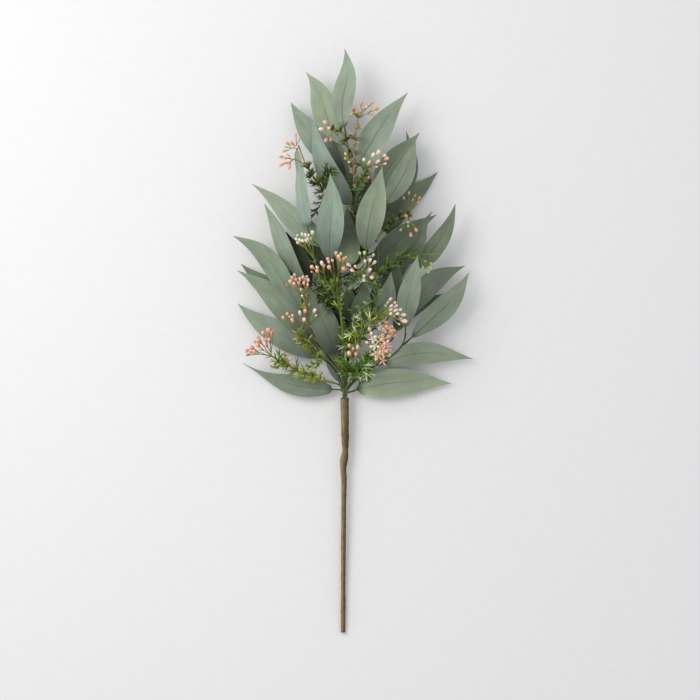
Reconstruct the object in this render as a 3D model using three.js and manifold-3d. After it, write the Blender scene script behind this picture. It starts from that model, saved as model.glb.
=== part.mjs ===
// Blade eucalyptus stem: one long cut spray lying flat on a surface.
// Millimetres. X runs across the spray, Y along it toward the leaf tips, Z up from the surface.
import * as THREE from 'three';
import { mergeVertices } from 'three/addons/utils/BufferGeometryUtils.js';
import Module from 'manifold-3d';

const wasm = await Module();
wasm.setup();

// Driving dimensions.
const BLADE_THICKNESS = 0.7;
const PETIOLE_LENGTH = 7;
const PETIOLE_HALF_WIDTH = 0.8;
const PETIOLE_THICKNESS = 1.5;
const TIP_HALF_WIDTH = 0.35;
const BLADE_STATIONS = 7;
const WIDEST_AT = 0.42;
const RIPPLE_HEIGHT = 1;
const PETIOLE_SHARE = 0.12;
const SEAT_GAP = 0.3;

const STEM_SIDES = 8;
const STEM_STEPS = 16;
const SOCKET_RADIUS = 3.2;
const SOCKET_OVERRUN = 6;
const AXIS_SIDES = 5;
const AXIS_STEPS = 14;
const TWIG_SIDES = 3;
const TWIG_RADIUS_START = 1.1;
const TWIG_RADIUS_END = 0.85;
const TWIG_LEAN = 0.4;
const TWIG_EASE = 0.35;
const LONG_TWIG = 25;

const STALK_SIDES = 3;
const STALK_RADIUS_START = 1.1;
const STALK_RADIUS_END = 0.9;
const KNOT_RADIUS = 1.7;
const PEDICEL_RADIUS = 0.4;
const BUD_RADIUS = 2.1;
const BUD_LENGTH = 6;
const BUD_SIDES = 3;
const NEEDLE_RADIUS = 0.95;
const NEEDLE_SIDES = 3;
const NEEDLE_CLEARANCE = 1.5;
const NEEDLE_TRIES = 8;
const GOLDEN_ANGLE = Math.PI * (3 - Math.sqrt(5));

// Centre line of the wrapped stem, with its radius: cut end first, open top last.
const stemLine = [
  { at: [-11.2, -325.4, 2.5], radius: 2.5 },
  { at: [-11.0, -270, 4.5], radius: 2.6 },
  { at: [-10.8, -210, 6.7], radius: 2.8 },
  { at: [-11.2, -160, 8.5], radius: 3.1 },
  { at: [-11.4, -146, 9.0], radius: 3.6 },
  { at: [-9.4, -128, 9.7], radius: 4.0 },
  { at: [-10.2, -108, 10.4], radius: 3.8 },
  { at: [-9.6, -88, 11.1], radius: 4.2 },
  { at: [-9.1, -64, 12.0], radius: 4.2 },
];

// Centre line of the main axis, with its radius: from inside the top of the stem to the uppermost leaf.
const axisLine = [
  { at: [-9.45, -77, 11.5], radius: 2.5 },
  { at: [-9.0, -60, 12.15], radius: 2.5 },
  { at: [-6.7, -20, 20], radius: 2.2 },
  { at: [-3.4, 24, 27], radius: 1.9 },
  { at: [-1, 69, 31], radius: 1.7 },
  { at: [1.7, 131, 33], radius: 1.5 },
  { at: [0, 178, 33], radius: 1.3 },
  { at: [-3.4, 204, 33], radius: 1.2 },
  { at: [-8.5, 230, 33], radius: 1.0 },
];

// Blades. The root is where the petiole meets the blade, the tip its point, the width its widest
// place and from the place along the main axis that its twig leaves.
// The bow and sway bend a blade sideways, the arch bends it up, the roll turns its face in degrees
// and the fold lifts its edges, as a share of its half width.
const bladeTable = [
  { name: 'leaf_01', root: [-9.5, 238, 34], tip: [-9.5, 325, 31], width: 24, from: 215,
    bow: -3, sway: -2.5, arch: 4, roll: 8, fold: 0.12 },
  { name: 'leaf_02', root: [-9, 219, 29], tip: [-52.6, 300.7, 23], width: 29, from: 190,
    bow: 1, sway: 2, arch: 3, roll: -6 },
  { name: 'leaf_03', root: [-9, 186, 22], tip: [-69.4, 266.6, 15], width: 26, from: 160,
    bow: 2, sway: 2, arch: 2, roll: -4 },
  { name: 'leaf_04', root: [-2.2, 152, 42], tip: [-44, 246.4, 44], width: 25, from: 125,
    bow: 6, arch: 3, roll: -12, fold: 0.15 },
  { name: 'leaf_05', root: [-2.2, 170, 18], tip: [-37, 250.3, 8], width: 25, from: 140, arch: 1 },
  { name: 'leaf_06', root: [5, 195, 33], tip: [60.8, 276.1, 34], width: 29, from: 155,
    bow: 3.5, sway: 2, arch: 5, roll: 5, fold: 0.12 },
  { name: 'leaf_07', root: [24.6, 161.8, 25], tip: [73.7, 231.8, 28], width: 27, from: 130,
    bow: 6, sway: 1, arch: 3, roll: 4 },
  { name: 'leaf_08', root: [36, 153, 36], tip: [69.4, 223.4, 38], width: 24, from: 115,
    bow: -5, arch: 3, roll: 4, fold: 0.12 },
  { name: 'leaf_09', root: [35.8, 140, 17], tip: [59.4, 234.2, 17], width: 26, from: 108,
    bow: -9, arch: 2, roll: 4 },
  { name: 'leaf_10', root: [39.2, 120, 10], tip: [94.4, 189.5, 0.5], width: 27, from: 85,
    bow: -3, sway: 2, arch: 0, fold: 0.06 },
  { name: 'leaf_11', root: [54, 86, 34], tip: [87.9, 146.2, 34], width: 17, from: 52,
    bow: -2, sway: 1, arch: 3, roll: 25, fold: 0.3 },
  { name: 'leaf_12', root: [21.3, 78, 22], tip: [93.2, 141.3, 16], width: 26, from: 50,
    bow: -2, arch: 2 },
  { name: 'leaf_13', root: [74, 82, 28], tip: [113.8, 152.3, 27], width: 25, from: 25,
    bow: -4, sway: -3, arch: 3, roll: 10, fold: 0.22 },
  { name: 'leaf_14', root: [60, 26, 20], tip: [124.5, 83.9, 18], width: 22, from: 12,
    bow: 10, arch: 3 },
  { name: 'leaf_15', root: [48, 12, 9], tip: [100.6, 53.2, 8], width: 20, from: 0,
    bow: 2, arch: 1 },
  { name: 'leaf_16', root: [66, 5, 15], tip: [129.2, 77.1, 24], width: 26, from: -56,
    bow: -5, sway: -1, arch: 4 },
  { name: 'leaf_17', root: [36, -24, 13], tip: [133.3, -19.2, 12], width: 24.5, from: -58,
    bow: 4, sway: -3, arch: 3, roll: 3 },
  { name: 'leaf_18', root: [5, -54, 11], tip: [109.8, -46.8, 7], width: 31, from: -59,
    bow: 3, sway: -1, arch: 2, roll: 2, fold: 0.08 },
  { name: 'leaf_19', root: [-23, -53.5, 11], tip: [-122.6, -24.3, 6], width: 24, from: -59,
    bow: 7.5, sway: -1, arch: 2, roll: -4 },
  { name: 'leaf_20', root: [-38, -16.5, 14], tip: [-128.5, 41.9, 8], width: 30, from: -57,
    bow: 3, arch: 2, roll: -4 },
  { name: 'leaf_21', root: [-44, 2, 24], tip: [-128.8, 78.6, 20], width: 26, from: -50,
    bow: -2, sway: 2, arch: 3, roll: -4 },
  { name: 'leaf_22', root: [-56, 42, 13], tip: [-125.1, 86.5, 0.5], width: 18, from: -10,
    arch: 0, fold: 0.06 },
  { name: 'leaf_23', root: [-56, 35, 37], tip: [-132.9, 116.3, 28], width: 25, from: -5,
    bow: -9, arch: 4, roll: -5, fold: 0.12 },
  { name: 'leaf_24', root: [-52, 65, 30], tip: [-100.2, 152.9, 25], width: 20, from: 25,
    sway: 2, arch: 3, roll: -10, fold: 0.15 },
  { name: 'leaf_25', root: [-50, 58, 20], tip: [-74.5, 122.6, 16], width: 20, from: 22, arch: 1 },
  { name: 'leaf_26', root: [-26, 107, 38], tip: [-112.2, 174.6, 33], width: 24, from: 75,
    bow: 1, sway: 2, arch: 4, roll: -5 },
  { name: 'leaf_27', root: [-50.4, 127, 50], tip: [-62.7, 211.3, 48], width: 24, from: 85,
    sway: -1, arch: 2, roll: -55, fold: 0.05 },
  { name: 'leaf_28', root: [-26, 90, 62], tip: [-25.2, 184.8, 72], width: 29, from: 64,
    sway: 1, arch: 4, roll: -4, fold: 0.15 },
  { name: 'leaf_29', root: [-3.4, 84, 48], tip: [-6.8, 149.5, 56], width: 20, from: 55,
    arch: 3, fold: 0.15 },
  { name: 'leaf_30', root: [13.4, 94, 37], tip: [-4.5, 145, 44], width: 20, from: 68, arch: 2 },
  { name: 'leaf_31', root: [14.5, 101, 60], tip: [32, 192.3, 70], width: 30, from: 65,
    bow: 2, sway: 1, arch: 5, roll: 4, fold: 0.15 },
  { name: 'leaf_32', root: [8, 12, 50], tip: [11.8, 70.6, 62], width: 28, from: -22,
    sway: 1, arch: 4, fold: 0.15 },
  { name: 'leaf_33', root: [27, 22, 43], tip: [42, 76.7, 52], width: 21, from: 2,
    bow: -1, arch: 3, roll: 5, fold: 0.2 },
  { name: 'leaf_34', root: [58, 16, 56], tip: [71, 95.1, 76], width: 24, from: -54,
    bow: 2, sway: 1, arch: 4, roll: 5, fold: 0.15 },
  { name: 'leaf_35', root: [42, 38, 31], tip: [50.4, 91.3, 38], width: 18, from: 2, arch: 2 },
  { name: 'leaf_36', root: [-18, -19, 46], tip: [-53.1, 62.2, 58], width: 30, from: -54,
    bow: -4, arch: 5, roll: -5, fold: 0.12 },
  { name: 'leaf_37', root: [-3, 22, 38], tip: [-5, 64, 43], width: 18, from: -5, arch: 2 },
  { name: 'leaf_38', root: [8, -46, 15], tip: [30, -3, 18], width: 20, from: -59, arch: 2 },
  { name: 'leaf_39', root: [-16, -44, 6], tip: [-31, -2, 8], width: 13, from: -58,
    arch: 2, fold: 0.15 },
  { name: 'leaf_40', root: [20, 40, 14], tip: [78, 118, 4], width: 24, from: 0,
    bow: 3, arch: 2, fold: 0.08 },
  { name: 'leaf_41', root: [-14, 60, 15], tip: [-62, 142, 5], width: 24, from: 20,
    bow: 3, arch: 1, fold: 0.08 },
  { name: 'leaf_42', root: [2, 110, 14], tip: [14, 205, 4], width: 24, from: 75,
    bow: -3, arch: 1, fold: 0.08 },
  { name: 'leaf_43', root: [-16, -10, 9], tip: [-34, 66, 6], width: 27, from: -32, arch: 2 },
];
const blades = bladeTable.map((row) => ({ bow: 0, sway: 0, roll: 0, fold: 0.1, ...row }));

// Flower sprigs. The root is where the stalk sits on its twig and the path the points it runs through.
// A head is a fan of buds that spreads from a point of the path, or from a side joint linked to it.
// The needles are the small leaves along the stalk.
const sprigs = [
  {
    name: 'sprig_01', root: [1, 184, 42], from: 160, seed: 11,
    path: [[2, 205, 46], [2.2, 226, 50], [5.5, 248, 56]],
    needles: 13, needleLength: 9,
    heads: [
      { after: 2, centre: [18, 262, 61], spread: [8, 6, 3], buds: 7 },
      { after: 2, centre: [1, 257, 60], spread: [4, 3, 2], buds: 3 },
      { after: 0, joint: [-4, 198, 45], centre: [-7, 207, 48], spread: [2, 5, 2], buds: 3 },
    ],
  },
  {
    name: 'sprig_02', root: [-5, 208, 39], from: 190, seed: 12,
    path: [[-7, 222, 45], [-13, 232, 49], [-21, 235, 52]],
    needles: 9, needleLength: 8,
    heads: [
      { after: 2, centre: [-30, 241, 56], spread: [4, 5, 3], buds: 4 },
      { after: 2, centre: [-29, 227, 54], spread: [3, 3, 2], buds: 3 },
    ],
  },
  {
    name: 'sprig_03', root: [5, 165, 42], from: 140, seed: 13,
    path: [[9, 176, 47], [14, 189, 52]],
    needles: 14, needleLength: 9,
    heads: [
      { after: 1, centre: [28, 206, 57], spread: [9, 6, 3], buds: 7 },
      { after: 1, centre: [15, 200, 56], spread: [4, 3, 2], buds: 3 },
    ],
  },
  {
    name: 'sprig_04', root: [-14, 134, 47], from: 85, seed: 14,
    path: [[-36, 168, 52], [-52, 195, 56], [-60, 216, 59]],
    needles: 16, needleLength: 9,
    heads: [
      { after: 2, centre: [-66, 225, 62], spread: [8, 6, 3], buds: 7 },
      { after: 1, joint: [-64, 201, 57], centre: [-75, 200, 59], spread: [5, 6, 3], buds: 6 },
    ],
  },
  {
    name: 'sprig_05', root: [-11, 22, 42], from: 0, seed: 15,
    path: [[-21, 44, 52], [-34, 62, 58], [-42, 88, 67]],
    needles: 6, needleLength: 9,
    heads: [
      { after: 2, centre: [-53, 116, 76], spread: [9, 7, 3], buds: 11 },
    ],
  },
  {
    name: 'sprig_06', root: [-10.5, -21, 36], from: -52, seed: 16,
    path: [[-10.5, -1, 54], [-13, 26, 68], [-16, 44, 75], [-18, 60, 82]],
    needles: 12, needleLength: 10,
    heads: [
      { after: 2, joint: [-28, 64, 82], centre: [-41, 82, 92], spread: [7, 6, 3], buds: 5 },
      { after: 3, centre: [-26, 86, 95], spread: [4, 6, 3], buds: 4 },
      { after: 3, centre: [-14, 93, 96], spread: [6, 5, 3], buds: 6 },
    ],
  },
  {
    name: 'sprig_07', root: [14, 22, 44], from: -8, seed: 17,
    path: [[24, 45, 60], [23, 58, 70], [12, 72, 80]],
    needles: 12, needleLength: 9,
    heads: [
      { after: 2, centre: [-2, 83, 88], spread: [5, 5, 3], buds: 4 },
      { after: 2, centre: [20, 77, 89], spread: [7, 5, 3], buds: 4 },
      { after: 2, centre: [15, 94, 88], spread: [8, 5, 3], buds: 5 },
    ],
  },
  {
    name: 'sprig_08', root: [22, 110, 30], from: 80, seed: 18,
    path: [[43, 133, 36], [61, 140, 40]],
    needles: 10, needleLength: 8,
    heads: [
      { after: 1, centre: [69, 158, 43], spread: [8, 3, 2], buds: 4 },
      { after: 1, centre: [65, 127, 43], spread: [6, 7, 2], buds: 5 },
    ],
  },
  {
    name: 'sprig_09', root: [18, 64, 38], from: 30, seed: 19,
    path: [[32, 81, 44], [50, 92, 48], [70, 97, 47]],
    needles: 16, needleLength: 13,
    heads: [
      { after: 2, centre: [82, 85, 45], spread: [5, 6, 2], buds: 5 },
    ],
  },
  {
    name: 'sprig_10', root: [-33, -10, 31], from: -46, seed: 20,
    path: [[-44, 13, 45], [-53, 45, 61]],
    needles: 9, needleLength: 8,
    heads: [
      { after: 1, centre: [-61, 66, 69], spread: [9, 7, 3], buds: 10 },
      { after: 1, centre: [-54, 57, 72], spread: [3, 3, 2], buds: 2 },
    ],
  },
  {
    name: 'sprig_11', root: [-29, -20, 29], from: -50, seed: 21,
    path: [[-43, -11, 36], [-57, 6, 48]],
    needles: 16, needleLength: 9,
    heads: [
      { after: 1, centre: [-72, 27, 57], spread: [6, 5, 3], buds: 5 },
      { after: 1, centre: [-53, 30, 64], spread: [7, 5, 3], buds: 5 },
    ],
  },
  {
    name: 'sprig_12', root: [-22, -46, 21], from: -56, seed: 22,
    path: [[-38, -42, 24], [-62, -32, 28], [-91, -16, 33]],
    needles: 18, needleLength: 10,
    heads: [
      { after: 2, centre: [-92, 5, 38], spread: [6, 8, 3], buds: 6 },
      { after: 2, centre: [-106, -2, 38], spread: [5, 6, 3], buds: 5 },
      { after: 2, centre: [-116, -13, 37], spread: [5, 5, 3], buds: 5 },
    ],
  },
  {
    name: 'sprig_13', root: [-3, -22, 38], from: -50, seed: 23,
    path: [[6, 4, 58], [19, 20, 72], [33, 27, 81]],
    needles: 18, needleLength: 10,
    heads: [
      { after: 2, centre: [43, 43, 87], spread: [6, 6, 3], buds: 5 },
      { after: 2, centre: [52, 27, 87], spread: [6, 7, 3], buds: 6 },
    ],
  },
  {
    name: 'sprig_14', root: [-3, -44, 28], from: -55, seed: 24,
    path: [[5, -32, 42], [20, -16, 60]],
    needles: 20, needleLength: 10,
    heads: [
      { after: 1, centre: [38, 10, 72], spread: [8, 8, 4], buds: 7 },
      { after: 1, centre: [32, -6, 79], spread: [7, 7, 4], buds: 7 },
      { after: 1, centre: [30, -22, 68], spread: [7, 6, 4], buds: 5 },
      { after: 0, joint: [0, -24, 52], centre: [1, -9, 62], spread: [7, 6, 3], buds: 5 },
    ],
  },
];

const materials = {
  wrap: new THREE.MeshStandardMaterial({ color: 0x77633f, roughness: 0.85, metalness: 0 }),
  twig: new THREE.MeshStandardMaterial({ color: 0x39452a, roughness: 0.7, metalness: 0 }),
  blade: new THREE.MeshStandardMaterial({
    color: 0x8fa38d,
    roughness: 0.8,
    metalness: 0,
    side: THREE.DoubleSide,
  }),
  sprig: new THREE.MeshStandardMaterial({ color: 0x8f9f52, roughness: 0.6, metalness: 0 }),
};

const UP = new THREE.Vector3(0, 0, 1);
const vector = (values) => new THREE.Vector3(...values);
const mix = (a, b, share) => a + (b - a) * share;

function seededRandom(seed) {
  let state = seed;
  return () => {
    state = (state + 0x6d2b79f5) | 0;
    let value = Math.imul(state ^ (state >>> 15), 1 | state);
    value = (value + Math.imul(value ^ (value >>> 7), 61 | value)) ^ value;
    return ((value ^ (value >>> 14)) >>> 0) / 4294967296;
  };
}

function closedGeometry(positions, triangles) {
  const geometry = new THREE.BufferGeometry();
  geometry.setAttribute('position', new THREE.Float32BufferAttribute(positions, 3));
  geometry.setIndex(triangles);
  return geometry;
}

// Merges shared vertices and drops the faces that have no area, ready to join.
function toSolid(geometry) {
  const bare = geometry.clone();
  bare.deleteAttribute('normal');
  bare.deleteAttribute('uv');
  const merged = mergeVertices(bare, 1e-4);
  const index = merged.index.array;
  const kept = [];
  for (let i = 0; i < index.length; i += 3) {
    const [a, b, c] = [index[i], index[i + 1], index[i + 2]];
    if (a !== b && b !== c && c !== a) kept.push(a, b, c);
  }
  return new wasm.Manifold(
    new wasm.Mesh({
      numProp: 3,
      vertProperties: new Float32Array(merged.attributes.position.array),
      triVerts: new Uint32Array(kept),
    }),
  );
}

function fromSolid(manifold) {
  const result = manifold.getMesh();
  return closedGeometry(Array.from(result.vertProperties), Array.from(result.triVerts));
}

// Joins neighbours in pairs, so each step joins bodies of like size.
function joinAll(solids) {
  let level = solids;
  while (level.length > 1) {
    const next = [];
    for (let i = 0; i < level.length; i += 2) {
      next.push(i + 1 < level.length ? level[i].add(level[i + 1]) : level[i]);
    }
    level = next;
  }
  return level[0];
}

const smoothCurve = (points) => new THREE.CatmullRomCurve3(points, false, 'catmullrom', 0.5);

// A round bar along a curve, or through points, whose radius changes along it.
function bar(line, radii, sides, samples) {
  const curve = Array.isArray(line) ? smoothCurve(line) : line;
  const positions = [];
  const triangles = [];
  let normal = null;
  for (let i = 0; i <= samples; i++) {
    const share = i / samples;
    const centre = curve.getPoint(share);
    const tangent = curve.getTangent(share);
    if (normal === null) {
      const guide = Math.abs(tangent.z) < 0.9 ? UP : new THREE.Vector3(1, 0, 0);
      normal = guide.clone();
    }
    normal.addScaledVector(tangent, -normal.dot(tangent)).normalize();
    const side = new THREE.Vector3().crossVectors(tangent, normal);
    const place = share * (radii.length - 1);
    const low = Math.min(Math.floor(place), radii.length - 2);
    const radius = mix(radii[low], radii[low + 1], place - low);
    for (let k = 0; k < sides; k++) {
      const angle = (2 * Math.PI * k) / sides;
      const corner = centre
        .clone()
        .addScaledVector(normal, radius * Math.cos(angle))
        .addScaledVector(side, radius * Math.sin(angle));
      positions.push(corner.x, corner.y, corner.z);
    }
  }
  for (let i = 0; i < samples; i++) {
    for (let k = 0; k < sides; k++) {
      const a = i * sides + k;
      const b = i * sides + ((k + 1) % sides);
      triangles.push(a, b, b + sides, a, b + sides, a + sides);
    }
  }
  const last = samples * sides;
  for (let k = 1; k < sides - 1; k++) {
    triangles.push(0, k + 1, k);
    triangles.push(last, last + k, last + k + 1);
  }
  return closedGeometry(positions, triangles);
}

// Middle line of a blade and the directions across and out of its face at a share of its length.
function bladeFrame(blade, share) {
  const root = vector(blade.root);
  const run = vector(blade.tip).sub(root);
  const along = run.clone().normalize();
  const left = new THREE.Vector3().crossVectors(UP, along).normalize();
  const raise = new THREE.Vector3().crossVectors(along, left);
  const half = Math.PI * share;
  const sideways = blade.bow * Math.sin(half) + blade.sway * Math.sin(2 * half);
  const upward = blade.arch * Math.sin(half);
  const centre = root
    .addScaledVector(run, share)
    .addScaledVector(left, sideways)
    .addScaledVector(raise, upward);
  const sidewaysSlope = Math.PI * (blade.bow * Math.cos(half) + 2 * blade.sway * Math.cos(2 * half));
  const upwardSlope = Math.PI * blade.arch * Math.cos(half);
  const tangent = run
    .clone()
    .addScaledVector(left, sidewaysSlope)
    .addScaledVector(raise, upwardSlope)
    .normalize();
  const roll = THREE.MathUtils.degToRad(blade.roll);
  const out = raise.multiplyScalar(Math.cos(roll)).addScaledVector(left, -Math.sin(roll));
  out.addScaledVector(tangent, -out.dot(tangent)).normalize();
  const across = new THREE.Vector3().crossVectors(out, tangent);
  return { centre, tangent, out, across };
}

// Half width of a blade with a drawn-out tip, as a share of its widest.
function bladeOutline(share) {
  const power = Math.log(0.5) / Math.log(WIDEST_AT);
  return Math.sin(Math.PI * share ** power) ** (0.78 + 0.5 * share);
}

function bladeGeometry(blade, number) {
  const shares = [-1];
  for (let i = 0; i <= BLADE_STATIONS; i++) shares.push(i / BLADE_STATIONS);
  const positions = [];
  for (const share of shares) {
    const inBlade = Math.max(0, share);
    const { centre, tangent, out, across } = bladeFrame(blade, inBlade);
    if (share < 0) centre.addScaledVector(tangent, -PETIOLE_LENGTH);
    const stalkShare = Math.max(0, 1 - inBlade / PETIOLE_SHARE);
    const flat = inBlade >= 1 ? 0 : bladeOutline(inBlade);
    const half = (blade.width / 2) * flat + mix(TIP_HALF_WIDTH, PETIOLE_HALF_WIDTH, stalkShare);
    const thick = mix(BLADE_THICKNESS, PETIOLE_THICKNESS, stalkShare);
    const ripple = RIPPLE_HEIGHT * Math.sin(7 * inBlade + 2.4 * number) * flat;
    for (const face of [0.5, -0.5]) {
      for (const place of [1, 0, -1]) {
        const lift = place === 0 ? 0 : blade.fold * half * flat + ripple * place;
        const point = centre
          .clone()
          .addScaledVector(across, place * half)
          .addScaledVector(out, lift + face * thick);
        positions.push(point.x, point.y, point.z);
      }
    }
  }
  const triangles = [];
  for (let i = 0; i + 1 < shares.length; i++) {
    const a = i * 6;
    const b = a + 6;
    for (const k of [0, 1]) {
      triangles.push(a + k, a + k + 1, b + k + 1, a + k, b + k + 1, b + k);
      triangles.push(a + k + 3, b + k + 4, a + k + 4, a + k + 3, b + k + 3, b + k + 4);
    }
    triangles.push(a + 3, a, b, a + 3, b, b + 3);
    triangles.push(a + 2, a + 5, b + 5, a + 2, b + 5, b + 2);
  }
  const end = (shares.length - 1) * 6;
  triangles.push(0, 3, 4, 0, 4, 1);
  triangles.push(1, 4, 5, 1, 5, 2);
  triangles.push(end, end + 4, end + 3, end, end + 1, end + 4);
  triangles.push(end + 1, end + 5, end + 4, end + 1, end + 2, end + 5);
  return closedGeometry(positions, triangles);
}

const axisPoints = axisLine.map((station) => vector(station.at));
const axisCurve = smoothCurve(axisPoints);

// The place on the main axis at a distance along the spray.
function axisAt(y) {
  let low = 0;
  let high = 1;
  for (let i = 0; i < 40; i++) {
    const middle = (low + high) / 2;
    if (axisCurve.getPoint(middle).y < y) low = middle;
    else high = middle;
  }
  return { point: axisCurve.getPoint(low), tangent: axisCurve.getTangent(low) };
}

// A twig from inside the main axis to just short of the foot of what it carries.
function twig(source, foot, heading) {
  const { point, tangent } = axisAt(source);
  const end = foot.addScaledVector(heading, -SEAT_GAP);
  const reach = end.distanceTo(point);
  const leaving = end.clone().sub(point).normalize().lerp(tangent, TWIG_LEAN).normalize();
  const curve = new THREE.CubicBezierCurve3(
    point,
    point.clone().addScaledVector(leaving, reach * TWIG_EASE),
    end.clone().addScaledVector(heading, -reach * TWIG_EASE),
    end,
  );
  const steps = reach > LONG_TWIG ? 4 : 2;
  return bar(curve, [TWIG_RADIUS_START, TWIG_RADIUS_END], TWIG_SIDES, steps);
}

// A bud and the thin stalk that it ends, as one body from inside the joint.
function bud(joint, place, random) {
  const size = mix(0.85, 1.1, random());
  const length = BUD_LENGTH * size * mix(0.85, 1.15, random());
  const radius = BUD_RADIUS * size;
  const direction = place.clone().sub(joint).normalize();
  const start = joint.clone().addScaledVector(direction, KNOT_RADIUS * 0.4);
  const reach = place.distanceTo(start);
  const profile = [
    new THREE.Vector2(0, 0),
    new THREE.Vector2(PEDICEL_RADIUS, 0),
    new THREE.Vector2(PEDICEL_RADIUS, reach),
    new THREE.Vector2(radius, reach + length * 0.6),
    new THREE.Vector2(0, reach + length),
  ];
  return placed(new THREE.LatheGeometry(profile, BUD_SIDES), start, direction);
}

// A needle leaf, narrow at its root in the stalk and widest a third of the way out.
function needle(root, direction, length, spin) {
  const profile = [
    new THREE.Vector2(0, 0),
    new THREE.Vector2(NEEDLE_RADIUS, length * 0.3),
    new THREE.Vector2(0, length),
  ];
  return placed(new THREE.LatheGeometry(profile, NEEDLE_SIDES).rotateY(spin), root, direction);
}

// Turns a geometry that grows along its own Y axis to a direction and moves it to its root.
function placed(geometry, root, direction) {
  const turn = new THREE.Quaternion().setFromUnitVectors(new THREE.Vector3(0, 1, 0), direction);
  geometry.applyQuaternion(turn);
  geometry.translate(root.x, root.y, root.z);
  return geometry;
}

const ray = new THREE.Raycaster();

// Whether a needle from root stays clear of every blade.
function isClear(root, direction, length, obstacles) {
  ray.set(root, direction);
  ray.far = length + NEEDLE_CLEARANCE;
  return ray.intersectObjects(obstacles, false).length === 0;
}

function sprigGeometry(sprig, obstacles) {
  const random = seededRandom(sprig.seed);
  const root = vector(sprig.root);
  const path = sprig.path.map(vector);
  const parts = [];
  const stalk = [root, ...path];
  const taper = [STALK_RADIUS_START, STALK_RADIUS_END];
  parts.push(toSolid(bar(stalk, taper, STALK_SIDES, stalk.length * 2 - 2)));
  const knots = new Set();
  for (const head of sprig.heads) {
    const start = path[head.after];
    const joint = head.joint ? vector(head.joint) : start;
    const radii = [STALK_RADIUS_END, STALK_RADIUS_END];
    if (head.joint) parts.push(toSolid(bar([start, joint], radii, STALK_SIDES, 1)));
    if (!knots.has(joint)) {
      const knot = new THREE.OctahedronGeometry(KNOT_RADIUS);
      knot.translate(joint.x, joint.y, joint.z);
      parts.push(toSolid(knot));
      knots.add(joint);
    }
    for (let i = 0; i < head.buds; i++) {
      const angle = i * GOLDEN_ANGLE + random() * 0.5;
      const reach = Math.sqrt((i + 0.5) / head.buds);
      const place = new THREE.Vector3(
        head.centre[0] + head.spread[0] * reach * Math.cos(angle),
        head.centre[1] + head.spread[1] * reach * Math.sin(angle),
        head.centre[2] + head.spread[2] * (random() * 2 - 1),
      );
      parts.push(toSolid(bud(joint, place, random)));
    }
  }
  const curve = smoothCurve(stalk);
  for (let i = 0; i < sprig.needles; i++) {
    const share = mix(0.08, 0.97, (i + random() * 0.6) / sprig.needles);
    const at = curve.getPoint(share);
    const tangent = curve.getTangent(share);
    const guide = Math.abs(tangent.z) < 0.9 ? UP : new THREE.Vector3(1, 0, 0);
    const first = guide.clone().addScaledVector(tangent, -guide.dot(tangent)).normalize();
    const second = new THREE.Vector3().crossVectors(tangent, first);
    const lean = mix(0.6, 0.95, random());
    const length = sprig.needleLength * mix(0.75, 1.2, random());
    const start = i * GOLDEN_ANGLE + random();
    for (let attempt = 0; attempt < NEEDLE_TRIES; attempt++) {
      const angle = start + (attempt * 2 * Math.PI) / NEEDLE_TRIES;
      const direction = tangent
        .clone()
        .multiplyScalar(Math.cos(lean))
        .addScaledVector(first, Math.sin(lean) * Math.cos(angle))
        .addScaledVector(second, Math.sin(lean) * Math.sin(angle));
      if (isClear(at, direction, length, obstacles)) {
        parts.push(toSolid(needle(at, direction, length, start)));
        break;
      }
    }
  }
  return fromSolid(joinAll(parts));
}

const group = new THREE.Group();

function addMesh(name, geometry, material) {
  geometry.computeVertexNormals();
  const mesh = new THREE.Mesh(geometry, material);
  mesh.name = name;
  group.add(mesh);
  return mesh;
}

// Wrapped stem with the plain hole in its open top.
const stemPoints = stemLine.map((station) => vector(station.at));
const stemRadii = stemLine.map((station) => station.radius);
const stemBody = toSolid(bar(stemPoints, stemRadii, STEM_SIDES, STEM_STEPS));
const socketRun = axisPoints[1].clone().sub(axisPoints[0]).normalize();
const socketBottom = axisPoints[0].clone().addScaledVector(socketRun, -2 * SEAT_GAP);
const socketTop = axisPoints[1].clone().addScaledVector(socketRun, SOCKET_OVERRUN);
const socket = toSolid(bar([socketBottom, socketTop], [SOCKET_RADIUS, SOCKET_RADIUS], STEM_SIDES, 1));
addMesh('stem', fromSolid(stemBody.subtract(socket)), materials.wrap);

// Main axis and every twig in one body.
const axisRadii = axisLine.map((station) => station.radius);
const wood = [toSolid(bar(axisPoints, axisRadii, AXIS_SIDES, AXIS_STEPS))];
for (const blade of blades) {
  const { centre, tangent } = bladeFrame(blade, 0);
  wood.push(toSolid(twig(blade.from, centre.addScaledVector(tangent, -PETIOLE_LENGTH), tangent)));
}
for (const sprig of sprigs) {
  const stalk = smoothCurve([vector(sprig.root), ...sprig.path.map(vector)]);
  wood.push(toSolid(twig(sprig.from, vector(sprig.root), stalk.getTangent(0))));
}
addMesh('branches', fromSolid(joinAll(wood)), materials.twig);

const bladeMeshes = blades.map((blade, number) =>
  addMesh(blade.name, bladeGeometry(blade, number), materials.blade),
);

for (const sprig of sprigs) {
  addMesh(sprig.name, sprigGeometry(sprig, bladeMeshes), materials.sprig);
}

export default group;
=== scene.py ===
# Looks of the blade eucalyptus stem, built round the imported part.
# Lengths are in millimetres in the part's own frame until a mesh is made.
import math
from collections import namedtuple

import bpy
import numpy as np
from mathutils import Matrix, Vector
from mathutils.bvhtree import BVHTree


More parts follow.
